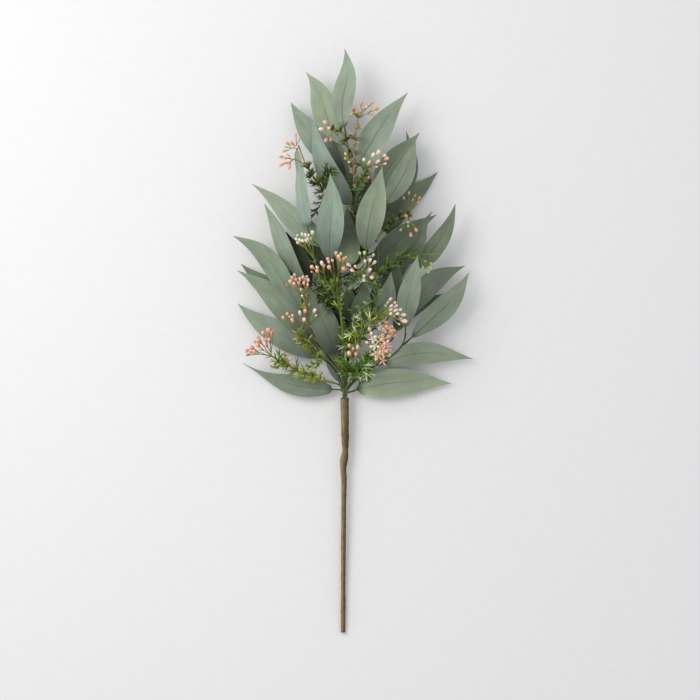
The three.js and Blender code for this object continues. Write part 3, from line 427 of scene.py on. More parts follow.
# Sprigs: the part's rows, with the tones of their stalk, needle leaves and buds.
# A head grows from the point of the stalk that after names, or from its own joint.
# Each bud is how far right of and above its head's centre it sits, its look and its size.
# Tufts are a share of the stalk, a number of leaves and their length.
# Shoots are a share of the stalk, where they end from there, a number of leaves, their length
# and, for some, their own tones.
Head = namedtuple("Head", "after centre buds joint stars spread", defaults=(None, 0, 0))
Sprig = namedtuple(
    "Sprig", "line start needles length stalk tones tufts heads shoots thick within grass",
    defaults=((), 1, (0.08, 0.97), 0))
SPRIGS = [
    Sprig([(1, 184, 42), (2, 205, 46), (2.2, 226, 50), (5.5, 248, 56)], start=160, needles=13, length=9,
        stalk=STALK_PINK, tones=Tones(PALE_GREEN, PINK_TIP, 0.45),
        tufts=[(0.02, 6, 9), (0.18, 5, 8), (0.35, 6, 8), (0.5, 5, 7), (0.62, 8, 9), (0.8, 4, 7),
            (0.98, 8, 7)],
        heads=[
            Head(2, (18, 262, 61), [(-9, 0, CORAL, 1.1), (-4, -4, PEACH), (1, -1, CREAM), (3, 1, CORAL),
                (4, -7, PEACH), (8.5, -5.5, ORANGE), (5, -12, PEACH, 0.7)]),
            Head(2, (1, 257, 60), [(-1, -2, AMBER), (1, -2, AMBER), (2.5, -4.5, ORANGE, 0.9),
                (-2.5, -6, LIME, 0.8)]),
            Head(0, (-7, 207, 48), [(-1, 0, LIME), (-1, -5, ORANGE, 0.8), (2.5, -8.5, BLUSH, 0.8)],
                joint=(-4, 198, 45))]),
    Sprig([(-5, 208, 39), (-7, 222, 45), (-13, 232, 49), (-21, 235, 52)], start=190, needles=9, length=8,
        stalk=STALK_OLIVE, tones=Tones(DEEP_GREEN, GREEN_TIP, 0.5),
        tufts=[(0.35, 4, 8), (0.7, 4, 8), (0.98, 4, 6)],
        heads=[
            Head(2, (-30, 241, 56), [(0, 0, ROSE, 1.3), (-4.5, -6.5, BLUSH, 1.2), (4, -5.5, ROSE, 1.1)]),
            Head(2, (-29, 227, 54), [(-0.5, -4, ROSE, 1.25), (4.5, -3.5, ROSE, 0.8)])]),
    Sprig([(5, 165, 42), (9, 176, 47), (14, 189, 52)], start=140, needles=14, length=9, stalk=STALK_OLIVE,
        tones=Tones(GREY_GREEN, PINK_TIP, 0.2),
        tufts=[(0.02, 7, 10), (0.25, 6, 9), (0.5, 5, 9), (0.75, 5, 8), (1, 5, 7)],
        heads=[
            Head(0, (17, 181, 52), [(0, 0, BALL, 0.75)]),
            Head(1, (28, 206, 57), [(-6, -1, CREAM, 1.2), (-0.5, 2, BLUSH, 1.2), (-1, -8, BLUSH, 1.2),
                (6.5, -1, CREAM), (8.5, -4.5, ROSE, 1.2), (7, -10, BLUSH, 0.8), (-2.5, -13.5, BLUSH, 0.6)]),
            Head(1, (15, 200, 56), [(-3, 0, CREAM), (2.5, -3, BLUSH)])]),
    Sprig([(-14, 134, 47), (-36, 168, 52), (-52, 195, 56), (-60, 216, 59)], start=85, needles=16, length=9,
        stalk=STALK_PINK, tones=Tones(DEEP_GREEN, GREEN_TIP, 0.15), within=(0.1, 0.62),
        tufts=[(0.3, 6, 11), (0.4, 6, 11), (0.5, 5, 10), (0.6, 4, 9)],
        shoots=[(0.28, (6, 27, 4), 12, 12), (0.22, (-14, -17, -14), 7, 11)],
        heads=[
            Head(2, (-66, 225, 62), [(-6, -7, CORAL), (-1, -7, CORAL, 1.2), (3, 2.5, CORAL, 0.9),
                (7, -2, LIME, 0.7), (-9, -15, CORAL), (4, -11, PEACH, 0.8), (-8.5, -11, LIME, 0.7)],
                joint=(-62, 212, 59)),
            Head(1, (-75, 200, 59), [(-3.5, 3.5, CORAL, 1.1), (0.5, 2, CORAL), (-3.5, -5, CORAL, 1.1),
                (4.5, -3, CORAL), (5, -8, CORAL, 0.9), (3, 6, LIME, 0.6), (1, -3, CORAL, 0.8)],
                joint=(-64, 201, 57))]),
    Sprig([(-11, 22, 42), (-21, 44, 52), (-34, 62, 58), (-42, 88, 67)], start=0, needles=6, length=9,
        stalk=STALK_GREEN, tones=Tones(LEAF_GREEN, WHITE_TIP, 0.5),
        tufts=[(0.35, 5, 9), (0.66, 4, 8), (0.98, 3, 7)],
        heads=[
            Head(2, (-53, 116, 76), [(-7.5, 0, LIME, 0.9), (-2.5, 1, CREAM, 0.9), (1, 0, CREAM),
                (4.5, 0, CREAM, 0.9), (8.5, 3, CREAM, 1.15), (-7.5, -8, CREAM, 0.9), (-5, -5.5, CREAM),
                (-2, -6, CREAM, 0.85), (1.5, -6, CREAM), (3.5, -4.5, BLUSH, 0.9), (7, -3.5, LIME, 0.8),
                (-9, -4, CREAM, 0.8)])]),
    Sprig([(-10.5, -21, 36), (-10.5, -1, 54), (-13, 26, 68), (-16, 44, 75), (-18, 60, 82)], start=-52,
        needles=12, length=10, stalk=STALK_DEEP, tones=Tones(BRIGHT_GREEN, PINK_TIP, 0.2), thick=1.55,
        within=(0.6, 1),
        tufts=[(0.02, 6, 11), (0.12, 6, 11), (0.22, 4, 10), (0.62, 3, 9), (0.85, 3, 9), (1, 6, 10)],
        # These shoots are near black: painted shadow among the lower leaves.
        shoots=[(0.85, (-22, -6, -18), 8, 9, PAINTED_SHADOW_TONES), (0.7, (-20, 10, -20), 7, 10, PAINTED_SHADOW_TONES),
            (0.9, (-12, 14, -20), 7, 10, PAINTED_SHADOW_TONES), (0.6, (-24, 4, -24), 7, 10, PAINTED_SHADOW_TONES),
            (0.8, (-30, 16, -34), 8, 11, PAINTED_SHADOW_TONES), (0.5, (-30, 22, -30), 8, 11, PAINTED_SHADOW_TONES),
            (0.7, (-14, 26, -30), 7, 11, PAINTED_SHADOW_TONES)],
        heads=[
            Head(2, (-41, 82, 92), [(-3.5, -1, BALL, 1.1), (-4, -6, BALL, 0.6), (2, -5.5, BALL),
                (2, -1.5, CREAM, 0.9), (7, 3, BLUSH, 1.2), (9, 0.5, BALL)], joint=(-28, 64, 82)),
            Head(3, (-26, 86, 95), [(0, -5.5, BALL, 1.15), (-1.5, 3.5, BALL), (-0.5, 0.5, CREAM, 0.8),
                (3.5, 2, ROSE, 0.9)]),
            Head(3, (-14, 93, 96), [(-4.5, 2.5, PEACH, 1.1), (-2, -1, PEACH), (0.5, 2, LIME),
                (-0.5, -4.5, LIME), (3.5, -3.5, ORANGE), (6, -1.5, ROSE, 0.7), (3, -14, BALL, 1.05)])]),
    Sprig([(14, 22, 44), (24, 45, 60), (23, 58, 70), (12, 72, 80)], start=-8, needles=12, length=9,
        stalk=STALK_GREEN, tones=Tones(GREY_GREEN, GREEN_TIP, 0.3),
        tufts=[(0.2, 5, 9), (0.5, 5, 9), (0.75, 5, 9), (1, 6, 9)],
        shoots=[(0.95, (-17, -7, -6), 10, 9), (0.8, (10, 4, -10), 6, 9), (0.3, (-24, -14, 6), 8, 9)],
        heads=[
            Head(2, (-2, 83, 88), [(-2.5, 0.5, BLUSH, 1.2), (-8, -4.5, ROSE, 1.2), (1.5, -5.5, BLUSH, 1.1),
                (5, -1.5, ROSE)]),
            Head(2, (20, 77, 89), [(-2.5, 0.5, BLUSH, 1.2), (0, -7, ROSE, 1.2), (-8, -5.5, BLUSH, 1.1),
                (-8, -9.5, BLUSH)]),
            Head(2, (15, 94, 88), [(-7.5, 2, LIME), (-2.5, 2.5, LIME, 1.1), (7, 0, LIME), (-2, -7, BLUSH),
                (8, -8, BLUSH, 1.1), (3.5, -5.5, CREAM)])]),
    Sprig([(22, 110, 30), (43, 133, 36), (61, 140, 40)], start=80, needles=10, length=8, stalk=STALK_OLIVE,
        tones=Tones(DEEP_GREEN, GREEN_TIP, 0.4),
        tufts=[(0.4, 5, 8), (0.7, 4, 8), (1, 5, 6)],
        heads=[
            Head(1, (69, 158, 43), [(-12.5, 0, HAZE), (-7, 5.5, HAZE), (-0.5, 3, HAZE), (4, 0, AMBER),
                (-3, -2.5, HAZE), (2.5, -3.5, BLUSH, 0.7)]),
            Head(1, (65, 127, 43), [(-6, 12, ORANGE), (-4, 5.5, CREAM, 0.8), (4.5, -3, ORANGE, 1.1),
                (-1, -8.5, ROSE), (-12, -3, LIME, 0.8), (-4, 1, LIME, 0.8)])]),
    Sprig([(18, 64, 38), (32, 81, 44), (50, 92, 48), (70, 97, 47)], start=30, needles=16, length=13,
        stalk=STALK_GREEN, tones=Tones(GRASS_GREEN, GREEN_TIP, 0.2), grass=16,
        tufts=[(0.05, 4, 8), (0.4, 4, 9)],
        heads=[
            Head(2, (82, 85, 45), [(0.5, -7, LIME, 1.1), (4.5, 1, LIME), (-2.5, 4, ROSE, 0.7),
                (-5, -2.5, LIME, 0.8), (3, -3, LIME)])]),
    Sprig([(-33, -10, 31), (-44, 13, 45), (-53, 45, 61)], start=-46, needles=9, length=8, stalk=STALK_OLIVE,
        tones=Tones(LEAF_GREEN, PINK_TIP, 0.8),
        tufts=[(0.6, 5, 8), (0.85, 6, 9), (1, 5, 8)],
        heads=[
            Head(1, (-61, 66, 69), [(-11, -4.5, AMBER, 0.9), (-7.5, -0.5, ROSE, 1.1), (-5.5, 3.5, ROSE),
                (-3, 6.5, ROSE), (-1.5, 1.5, ROSE, 1.1), (1.5, -2.5, ROSE, 1.1), (2.5, 2, BLUSH),
                (6, 4, ROSE), (8, 1.5, ROSE, 1.1), (10, 4, ROSE), (11.5, 0.5, BLUSH), (7, -2.5, ROSE),
                (-3.5, -3, PEACH), (11, -4, BLUSH, 0.7)]),
            Head(1, (-54, 57, 72), [(-3, -0.5, LIME), (-2, -7, CREAM, 0.7)])]),
    Sprig([(-29, -20, 29), (-43, -11, 36), (-57, 6, 48)], start=-50, needles=16, length=9,
        stalk=STALK_GREEN, tones=Tones(LEAF_GREEN, PINK_TIP, 0.35),
        tufts=[(0.3, 5, 10), (0.6, 7, 11), (0.8, 7, 11), (1, 6, 10)],
        shoots=[(0.02, (-17, -9, 4), 7, 9)],
        heads=[
            Head(1, (-72, 27, 57), [(-4.5, -1, BALL, 0.95), (0, 3, BALL, 0.95), (5.5, 1, BALL, 0.9),
                (5.5, -4, PEACH, 1.2), (2, 0, LIME, 0.7)]),
            Head(1, (-53, 30, 64), [(-5.5, 1, BLUSH, 1.1), (0, 3, ROSE, 1.1), (10.5, 3.5, BLUSH, 1.2),
                (-1, -6.5, PEACH, 1.2), (12, -1.5, CREAM, 0.6)])]),
    Sprig([(-22, -46, 21), (-38, -42, 24), (-62, -32, 28), (-91, -16, 33)], start=-56, needles=18,
        length=10, stalk=STALK_OLIVE, tones=Tones(LEAF_GREEN, PINK_TIP, 0.3), thick=1.15,
        tufts=[(0.3, 4, 9), (0.42, 5, 11), (0.55, 6, 12), (0.66, 7, 13), (0.78, 7, 13), (0.9, 8, 13)],
        shoots=[(0.78, (-2, 15, 6), 2, 8, BLUSHING), (0.85, (-10, -7, 2), 3, 8, BLUSHING)],
        heads=[
            Head(2, (-92, 5, 38), [(-1.5, 6.5, CLUB, 1.5), (-7.5, 4, CLUB, 1.15), (3.5, 5, PEACH),
                (-4.5, -3.5, CLUB, 1.15), (-5, -9, PEACH, 1.1), (-1, -3.5, ROSE, 1.1),
                (1.5, 3.5, CORAL, 0.9)]),
            Head(2, (-106, -2, 38), [(2, 2.5, CLUB, 1.3), (0.5, -2, CLUB, 1.2), (3.5, -6.5, PEACH, 1.1),
                (0.5, 6, ROSE), (-2.5, 1, CORAL)]),
            Head(2, (-116, -13, 37), [(3.5, 6, CLUB, 1.35), (7, 2, CLUB, 1), (-1.5, 2.5, CLUB, 1.1),
                (2, 0.5, ROSE), (-0.5, -2, AMBER, 0.9)])]),
    Sprig([(-3, -22, 38), (6, 4, 58), (19, 20, 72), (33, 27, 81)], start=-50, needles=12, length=10,
        stalk=STALK_OLIVE, tones=Tones(LEAF_GREEN, WHITE_TIP, 0.4),
        tufts=[(0.05, 5, 13), (0.18, 4, 13), (0.33, 5, 14), (0.5, 4, 14), (0.66, 5, 15), (0.82, 3, 9)],
        shoots=[(0.3, (-10, 14, 4), 4, 12), (0.55, (6, 16, 2), 4, 12), (0.2, (-12, 4, 4), 5, 12),
            (0.5, (-4, 16, 6), 2, 10, PALE), (0.35, (-12, 6, 8), 2, 10, PALE),
            (0.05, (-10, 12, 8), 2, 9, PALE)],
        heads=[
            Head(1, (43, 43, 87), [(-2.5, 2.5, BLUSH, 1.1), (-7.5, -4, CREAM, 0.8),
                (-1.5, -4.5, BLUSH, 0.9), (2.5, -1, ROSE, 0.85), (3.5, -4.5, BLUSH), (-2, -8.5, CREAM, 0.9),
                (3, -9.5, BLUSH, 1.15), (-5.5, -1, LIME, 0.7), (0.5, -6.5, LIME, 0.6)]),
            Head(2, (52, 27, 87), [(-0.5, 7.5, CREAM, 0.9), (2.5, 2, BLUSH, 1.2), (3.5, -4.5, BLUSH, 1.4),
                (0, -2, LIME, 0.8), (-11, 3, CREAM), (-4, 3, BLUSH, 0.95), (-2, -8, CREAM, 0.6),
                (-7, 0, LIME, 0.6)])]),
    Sprig([(-3, -44, 28), (5, -32, 42), (20, -16, 60)], start=-55, needles=14, length=10, stalk=STALK_GREEN,
        tones=Tones(BRIGHT_GREEN, WHITE_TIP, 0.35),
        tufts=[(0.15, 4, 11), (0.28, 6, 13), (0.42, 8, 13), (0.56, 8, 13), (0.7, 7, 12), (0.85, 6, 12)],
        shoots=[(0.05, (-8, 10, 6), 5, 10), (0.5, (14, -8, 4), 5, 10), (0.25, (-10, 16, 10), 8, 12),
            (0.4, (16, 4, 2), 6, 12), (0.15, (12, 8, 18), 3, 11, PALE), (0.9, (14, 14, 16), 6, 10),
            (0.85, (4, 8, 14), 5, 9)],
        heads=[
            Head(1, (38, 10, 72), [(-2, 10, BALL, 1.1), (-2, 5.5, BALL, 1.15), (-8.5, 8, PEACH),
                (3.5, 0.5, BALL, 1.2), (-4, -1.5, PEACH, 1.15), (7, -4, BALL, 1.15), (0, -5.5, PEACH, 1.2),
                (-9.5, 4, BLUSH), (-6, -3.5, CREAM), (4, 5, BALL, 1.1), (-5, 2, BLUSH, 1.1),
                (3, -3, ROSE, 1.1), (6.5, 1, BALL, 1.05)], stars=2, spread=6),
            Head(1, (29, -5, 79), [(2, 6.5, BALL, 1.1), (-5, 9, CREAM), (2.5, -1.5, BALL, 1.15),
                (-1.5, -1, PEACH), (-13.5, 3.5, PEACH), (-7, 3.5, BLUSH), (8.5, 4.5, PEACH),
                (8.5, -1, BALL), (-11, 18, CREAM), (-9, 13, BLUSH), (-6, -2, LIME), (0, -6, ROSE),
                (5, 2, PEACH), (-9, -1, CREAM), (-3, 5, LIME, 0.8), (6, -5, PEACH), (-4, -7, LIME, 0.8),
                (0, 10, LIME, 0.8), (-8, 8, LIME, 0.7), (4, 9, LIME, 0.7)], stars=8, spread=11),
            Head(1, (30, -22, 68), [(-5, 6, BLUSH), (2, 5, BALL, 1.15), (8.5, 7, BALL, 1.2),
                (-5, 3, CREAM)], stars=1, spread=3),
            Head(0, (1, -9, 62), [(-5, 4, BALL), (-5, -4.5, ROSE, 1.3), (4, 2, PEACH, 1.1),
                (2, -5.5, ROSE, 1.15), (-1, 0.5, PEACH, 0.8)], joint=(0, -24, 52))]),
]

# Leaves of the axis: the stretch along the spray, their tones and how many at a node.
AXIS_LEAVES = [
    (-36, -12, Tones(BRIGHT_GREEN, WHITE_TIP, 0.2), 7),
    (-12, 20, Tones(DEEP_GREEN, GREEN_TIP, 0), 7),
    # This stretch of leaves is near black: painted shadow.
    (20, 76, Tones(PAINTED_SHADOW_GREEN, PAINTED_SHADOW_GREEN, 1), 7),
    (76, 110, Tones(DEEP_GREEN, GREEN_TIP, 0), 7),
    (110, 190, Tones(GREY_GREEN, PINK_TIP, 0.1), 6),
]
# Where the nodes of the axis start and end, and how far apart they are.
AXIS_LEAF_PLACES = (-35, 182, 7.0)
AXIS_LEAF_LENGTHS = (10, 15)

# Floor, light and camera, in metres.
FLOOR_SIZE = 6
FLOOR_TONE = (0.8, 0.8, 0.8)
WORLD_TONE = (0.975, 0.98, 1.0)
WORLD_STRENGTH = 0.76
LIGHT_PLACE = (-0.95, 0.55, 1.25)
LIGHT_TONE = (1.0, 0.985, 0.96)
LIGHT_SIDE = 0.9
LIGHT_POWER = 12.5
CAMERA_CENTRE = (-0.00336, -0.00952)
CAMERA_HEIGHT = 3.92
CAMERA_LENS = 180
CAMERA_SENSOR = 36


# Small tools.
def unit(values):
    values = np.asarray(values, float)
    return values / np.linalg.norm(values, axis=-1, keepdims=True)


def mix(a, b, share):
    return a + (b - a) * share


def linear(tone):
    """A screen tone as the linear colour that Blender mixes."""
    values = np.array(tone, float) / 255
    return np.where(values <= 0.04045, values / 12.92, ((values + 0.055) / 1.055) ** 2.4)


def seeded(seed):
    """The part's own repeatable draw of numbers, from 0 to 1 or between two limits."""
    state = seed & 0xFFFFFFFF

    def draw(low=0, high=1):
        nonlocal state
        state = (state + 0x6D2B79F5) & 0xFFFFFFFF
        value = ((state ^ (state >> 15)) * (1 | state)) & 0xFFFFFFFF
        value = ((value + ((value ^ (value >> 7)) * (61 | value))) & 0xFFFFFFFF) ^ value
        return mix(low, high, (value ^ (value >> 14)) / 4294967296)

    return draw


def curve_point(points, share):
    """A point of the smooth curve through points, at a share of its run from 0 to 1."""
    points = np.asarray(points, float)
    last = len(points) - 1
    low = min(int(share * last), last - 1)
    t = share * last - low
    start, end = points[low:low + 2]
    before = points[low - 1] if low > 0 else 2 * points[0] - points[1]
    after = points[low + 2] if low + 2 <= last else 2 * points[last] - points[last - 1]
    leave = 0.5 * (end - before)
    reach = 0.5 * (after - start)
    square = -3 * start + 3 * end - 2 * leave - reach
    cube = 2 * start - 2 * end + leave + reach
    return start + leave * t + square * t**2 + cube * t**3


def curve_tangent(points, share):
    low = max(0.0, share - 0.0001)
    high = min(1.0, share + 0.0001)
    return unit(curve_point(points, high) - curve_point(points, low))


def curve_at(points, share):
    """The point of a curve and its direction there."""
    return curve_point(points, share), curve_tangent(points, share)


def curve(points, steps):
    return np.array([curve_point(points, share) for share in np.linspace(0, 1, steps + 1)])


def traced(rows, steps):
    """A line through rows of places and radii: its points, the shares of its run and its radii."""
    points, radii = zip(*rows)
    shares = np.linspace(0, 1, steps + 1)
    return curve(points, steps), shares, np.interp(shares * (len(rows) - 1), np.arange(len(rows)), radii)


def arc(start, leaving, arriving, end, steps=THIN_STEPS):
    """Points of a cubic arc between two ends through two handles."""
    t = np.linspace(0, 1, steps + 1)[:, None]
    return (1 - t) ** 3 * start + 3 * (1 - t) ** 2 * t * leaving + 3 * (1 - t) * t**2 * arriving + t**3 * end


def side_pair(direction):
    """Two directions square to a direction and to each other."""
    guide = UP if abs(direction[2]) < STEEP else EAST
    first = unit(guide - direction * np.dot(guide, direction))
    return first, np.cross(direction, first)


def carried(centres):
    """Two side directions at each point of a line, carried along it without twist."""
    tangents = unit(np.gradient(centres, axis=0))
    normals = []
    normal = UP if abs(tangents[0][2]) < STEEP else EAST
    for tangent in tangents:
        normal = unit(normal - tangent * np.dot(normal, tangent))
        normals.append(normal)
    return np.array(normals), np.cross(tangents, normals)


def round_angles(sides):
    return np.arange(sides) * math.tau / sides


def turned(first, second, angle):
    return first * math.cos(angle) + second * math.sin(angle)


def ring_points(centres, reach, angles, first, second):
    """Rings of points round centres, in the plane of two directions."""
    right = (reach * np.cos(angles))[:, :, None] * first
    return centres[:, None] + right + (reach * np.sin(angles))[:, :, None] * second


def rings_round(centres, radii, sides):
    """Rings round a line. Radii hold one value for a ring, or one for each point."""
    normals, others = carried(centres)
    reach = np.reshape(radii, (len(centres), -1))
    return ring_points(centres, reach, round_angles(sides), normals[:, None], others[:, None])


def hump(value, middle, reach, power=2):
    """A smooth hump that is 1 at its middle and fades over its reach."""
    return np.exp(-(((value - middle) / reach) ** power))


class Body:
    """Collects closed skins with a tint and a place for each point, and makes one object of them."""

    def __init__(self):
        self.points = []
        self.tints = []
        self.places = []
        self.shares = []
        self.faces = []
        self.surfaces = []
        self.count = 0

    def skin(self, rings, tint, place, share=(0, 0, 0), surface=0):
        """Adds a skin over rings of points, closed at both ends and turned outward."""
        rows, sides, _ = rings.shape
        index = np.arange(rows * sides).reshape(rows, sides)
        following = np.roll(index, -1, axis=1)
        quads = np.stack([index[:-1], following[:-1], following[1:], index[1:]], axis=-1).reshape(-1, 4)
        points = rings.reshape(-1, 3)
        p, q, r, s = (points[quads[:, k]] - points.mean(axis=0) for k in range(4))
        volume = np.einsum("ij,ij->", p, np.cross(q, r)) + np.einsum("ij,ij->", p, np.cross(r, s))
        caps = [index[0][::-1].tolist(), index[-1].tolist()]
        if volume < 0:
            quads = quads[:, ::-1]
            caps = [face[::-1] for face in caps]
        faces = (quads + self.count).tolist() + [[k + self.count for k in face] for face in caps]
        self.faces += faces
        self.surfaces += [surface] * len(faces)
        self.points.append(points)
        self.tints.append(np.broadcast_to(tint, rings.shape).reshape(-1, 3))
        for store, values in ((self.places, place), (self.shares, share)):
            grids = [np.broadcast_to(value, (rows, sides)).ravel() for value in values]
            store.append(np.stack(grids, axis=-1))
        self.count += len(points)

    def make(self, name, node, materials, crease):
        """Makes the object, which stands for a CAD node."""
        mesh = bpy.data.meshes.new(name)
        mesh.from_pydata((np.concatenate(self.points) * MM).tolist(), [], self.faces)
        for material in materials:
            mesh.materials.append(material)
        mesh.polygons.foreach_set("material_index", self.surfaces)
        tint = mesh.attributes.new("tint", "FLOAT_COLOR", "POINT")
        tints = np.concatenate(self.tints)
        tint.data.foreach_set("color", np.column_stack([tints, np.ones(len(tints))]).ravel())
        for title, store in (("place", self.places), ("share", self.shares)):
            layer = mesh.attributes.new(title, "FLOAT_VECTOR", "POINT")
            layer.data.foreach_set("vector", np.concatenate(store).ravel())
        mesh.shade_smooth()
        mesh.set_sharp_from_angle(angle=math.radians(crease))
        thing = bpy.data.objects.new(name, mesh)
        bpy.context.scene.collection.objects.link(thing)
        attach(thing, "root")
        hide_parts(node)


# Materials.
class Value:
    """A number of a material under construction, with the usual signs for sums."""

    def __init__(self, recipe, socket):
        self.recipe = recipe
        self.socket = socket

    def __add__(self, other):
        return self.recipe.maths("ADD", self, other)

    def __sub__(self, other):
        return self.recipe.maths("SUBTRACT", self, other)

    def __mul__(self, other):
        return self.recipe.maths("MULTIPLY", self, other)

    def less(self, amount):
        """One, less a share of this value."""
        return self.recipe.maths("SUBTRACT", 1.0, self * amount)


class Recipe:
    """A material under construction, which reads the tint of each point."""

    def __init__(self, name):
        self.material = bpy.data.materials.new(name)
        self.material.use_nodes = True
        self.tree = self.material.node_tree
        self.shader = self.tree.nodes["Principled BSDF"]

    def node(self, kind, inputs=None, **settings):
        made = self.tree.nodes.new(kind)
        for key, value in settings.items():
            setattr(made, key, value)
        for key, value in (inputs or {}).items():
            self.put(made.inputs[key], value)
        return made

    def put(self, socket, value):
        if isinstance(value, Value):
            value = value.socket
        if isinstance(value, bpy.types.NodeSocket):
            self.tree.links.new(value, socket)
        else:
            socket.default_value = value

    def tint(self):
        return self.node("ShaderNodeAttribute", attribute_name="tint").outputs["Color"]

    def parts(self, name):
        """The three numbers of a vector attribute."""
        vector = self.node("ShaderNodeAttribute", attribute_name=name).outputs["Vector"]
        made = self.node("ShaderNodeSeparateXYZ", {"Vector": vector})
        return [Value(self, made.outputs[k]) for k in range(3)]

    def maths(self, operation, a, b=0.0):
        made = self.node("ShaderNodeMath", {0: a, 1: b}, operation=operation)
        return Value(self, made.outputs[0])

    def ramp(self, value, low, high, start=0.0, end=1.0):
        inputs = {"Value": value, "From Min": low, "From Max": high, "To Min": start, "To Max": end}
        made = self.node("ShaderNodeMapRange", inputs, interpolation_type="SMOOTHSTEP")
        return Value(self, made.outputs["Result"])

    def noise(self, vector, scale, detail=3.0, roughness=0.5):
        inputs = {"Vector": vector, "Scale": scale, "Detail": detail, "Roughness": roughness}
        return Value(self, self.node("ShaderNodeTexNoise", inputs).outputs["Fac"])

    def join(self, x, y, z):
        return self.node("ShaderNodeCombineXYZ", {"X": x, "Y": y, "Z": z}).outputs[0]

    def scaled(self, colour, factor):
        """A colour times a number."""
        return self.node("ShaderNodeVectorMath", {0: colour, "Scale": factor}, operation="SCALE").outputs[0]

    def finish(self, colour, roughness, height, depth=1.0, specular=0.5, sheen=0.0):
        """Joins colour, roughness and a height in millimetres to the shader."""
        bump = self.node("ShaderNodeBump", {"Strength": 1.0, "Distance": depth * MM, "Height": height})
        inputs = {"Base Color": colour, "Roughness": roughness, "Specular IOR Level": specular,
                  "Sheen Weight": sheen, "Normal": bump.outputs["Normal"]}
        for key, value in inputs.items():
            self.put(self.shader.inputs[key], value)
        return self.material


def blade_cloth():
    recipe = Recipe("blade_cloth")
    tint = recipe.tint()
    along, across, seed = recipe.parts("place")
    share, out, strength = recipe.parts("share")
    beside = recipe.maths("ABSOLUTE", across)
    offset = seed * 37.0
    # Pressed rib: a thin dark line that fades before the tip.
    rib = recipe.ramp(beside, 0.12, 0.8, 1.0, 0.0) * recipe.ramp(share, 0.4, 0.8, 1.0, 0.1) * strength
    # Side veins that leave the rib forward.
    wander = recipe.noise(recipe.join(along * 0.06, across, offset), 0.35)
    row = recipe.maths("FRACT", (along + beside * VEIN_LEAN + wander * 4.0) * VEIN_PITCH)
    vein = recipe.ramp(recipe.maths("ABSOLUTE", row - 0.5), 0.02, 0.12, 1.0, 0.0)
    vein = vein * recipe.ramp(share, 0.02, 0.12) * recipe.ramp(out, 0.7, 0.98, 1.0, 0.0)
    # Threads of the cloth and slow patches of tone.
    thread = recipe.noise(recipe.join(along * 0.25, across * 3.2, offset), 1.0, 4.0, 0.6)
    patches = recipe.join(along * 0.05, across * 0.11, offset)
    patch = recipe.noise(patches, 1.0)
    weave = recipe.maths("SINE", across * WEAVE_PITCH) * recipe.maths("SINE", along * WEAVE_PITCH)
    shade = recipe.ramp(patch, 0.25, 0.75, 0.9, 1.1) * recipe.ramp(thread, 0.3, 0.7, 0.95, 1.05)
    # The outer tenth toward each edge is lightened up to 12 %: a painted highlight along the rim.
    shade = shade * rib.less(RIB_SHADE) * vein.less(VEIN_SHADE) * recipe.ramp(out, 0.9, 1.0, 1.0, 1.12)
    warm = recipe.node("ShaderNodeVectorMath", {0: tint, 1: WARM_PATCH}, operation="MULTIPLY")
    factor = recipe.ramp(recipe.noise(patches, 2.3), 0.35, 0.7)
    inputs = {"Factor": factor, "A": tint, "B": warm.outputs[0]}
    colour = recipe.node("ShaderNodeMix", inputs, data_type="RGBA").outputs["Result"]
    height = vein * VEIN_HEIGHT + rib * RIB_HEIGHT + thread * THREAD_HEIGHT + weave * WEAVE_HEIGHT
    height = height + patch * PATCH_HEIGHT
    roughness = recipe.ramp(thread, 0.2, 0.8, 0.7, 0.86)
    return recipe.finish(recipe.scaled(colour, shade), roughness, height, specular=0.25, sheen=0.08)


def moulded(name, grain, roughness_low, roughness_high, variation, depth, specular=0.4):
    """Moulded plastic with grain along the part, in the tint of each point."""
    recipe = Recipe(name)
    along, around, seed = recipe.parts("place")
    streak = recipe.noise(recipe.join(along * 0.5, around * 1.5, seed), grain, 4.0, 0.6)
    patch = recipe.noise(recipe.join(along, around, seed), grain * 0.18, 2.0)
    limits = (0.3, 0.7, 1 - variation, 1 + variation)
    shade = recipe.ramp(streak, *limits) * recipe.ramp(patch, *limits)
    roughness = recipe.ramp(streak, 0.2, 0.8, roughness_low, roughness_high)
    colour = recipe.scaled(recipe.tint(), shade)
    return recipe.finish(colour, roughness, streak, depth=depth, specular=specular)


def paper_wrap():
    """Creased paper tape, with painted shade along the edge of each turn."""
    recipe = Recipe("paper_wrap")
    along, around, turn = recipe.parts("place")
    crease = recipe.noise(recipe.join(along * 0.12, around * 0.9, 3.0), 1.0, 5.0, 0.62)
    fibre = recipe.noise(recipe.join(along * 0.9, around * 2.5, 7.0), 1.6, 4.0, 0.65)
    patch = recipe.noise(recipe.join(along, around, 1.0), 0.09, 3.0)
    # Painted shade along the edge of each turn, where the next turn steps over it.
    edge = recipe.ramp(recipe.maths("FRACT", turn), 0.0, 0.1, 1.0, 0.0)
    shade = recipe.ramp(crease, 0.3, 0.7, 0.7, 1.2) * recipe.ramp(fibre, 0.3, 0.7, 0.88, 1.1)
    shade = shade * recipe.ramp(patch, 0.3, 0.7, 0.88, 1.12) * edge.less(LAP_PAINTED_SHADE)
    roughness = recipe.ramp(fibre, 0.2, 0.8, 0.78, 0.94)
    height = crease * CREASE_HEIGHT + fibre * FIBRE_HEIGHT
    return recipe.finish(recipe.scaled(recipe.tint(), shade), roughness, height, specular=0.2)


CLOTH = blade_cloth()
PAPER = paper_wrap()
WOOD = moulded("twig_plastic", 1.4, 0.5, 0.72, 0.14, 0.3)
GREENERY = moulded("sprig_plastic", 1.2, 0.5, 0.7, 0.14, 0.15, 0.22)
PETAL = moulded("bud_plastic", 0.9, 0.34, 0.5, 0.05, 0.08)


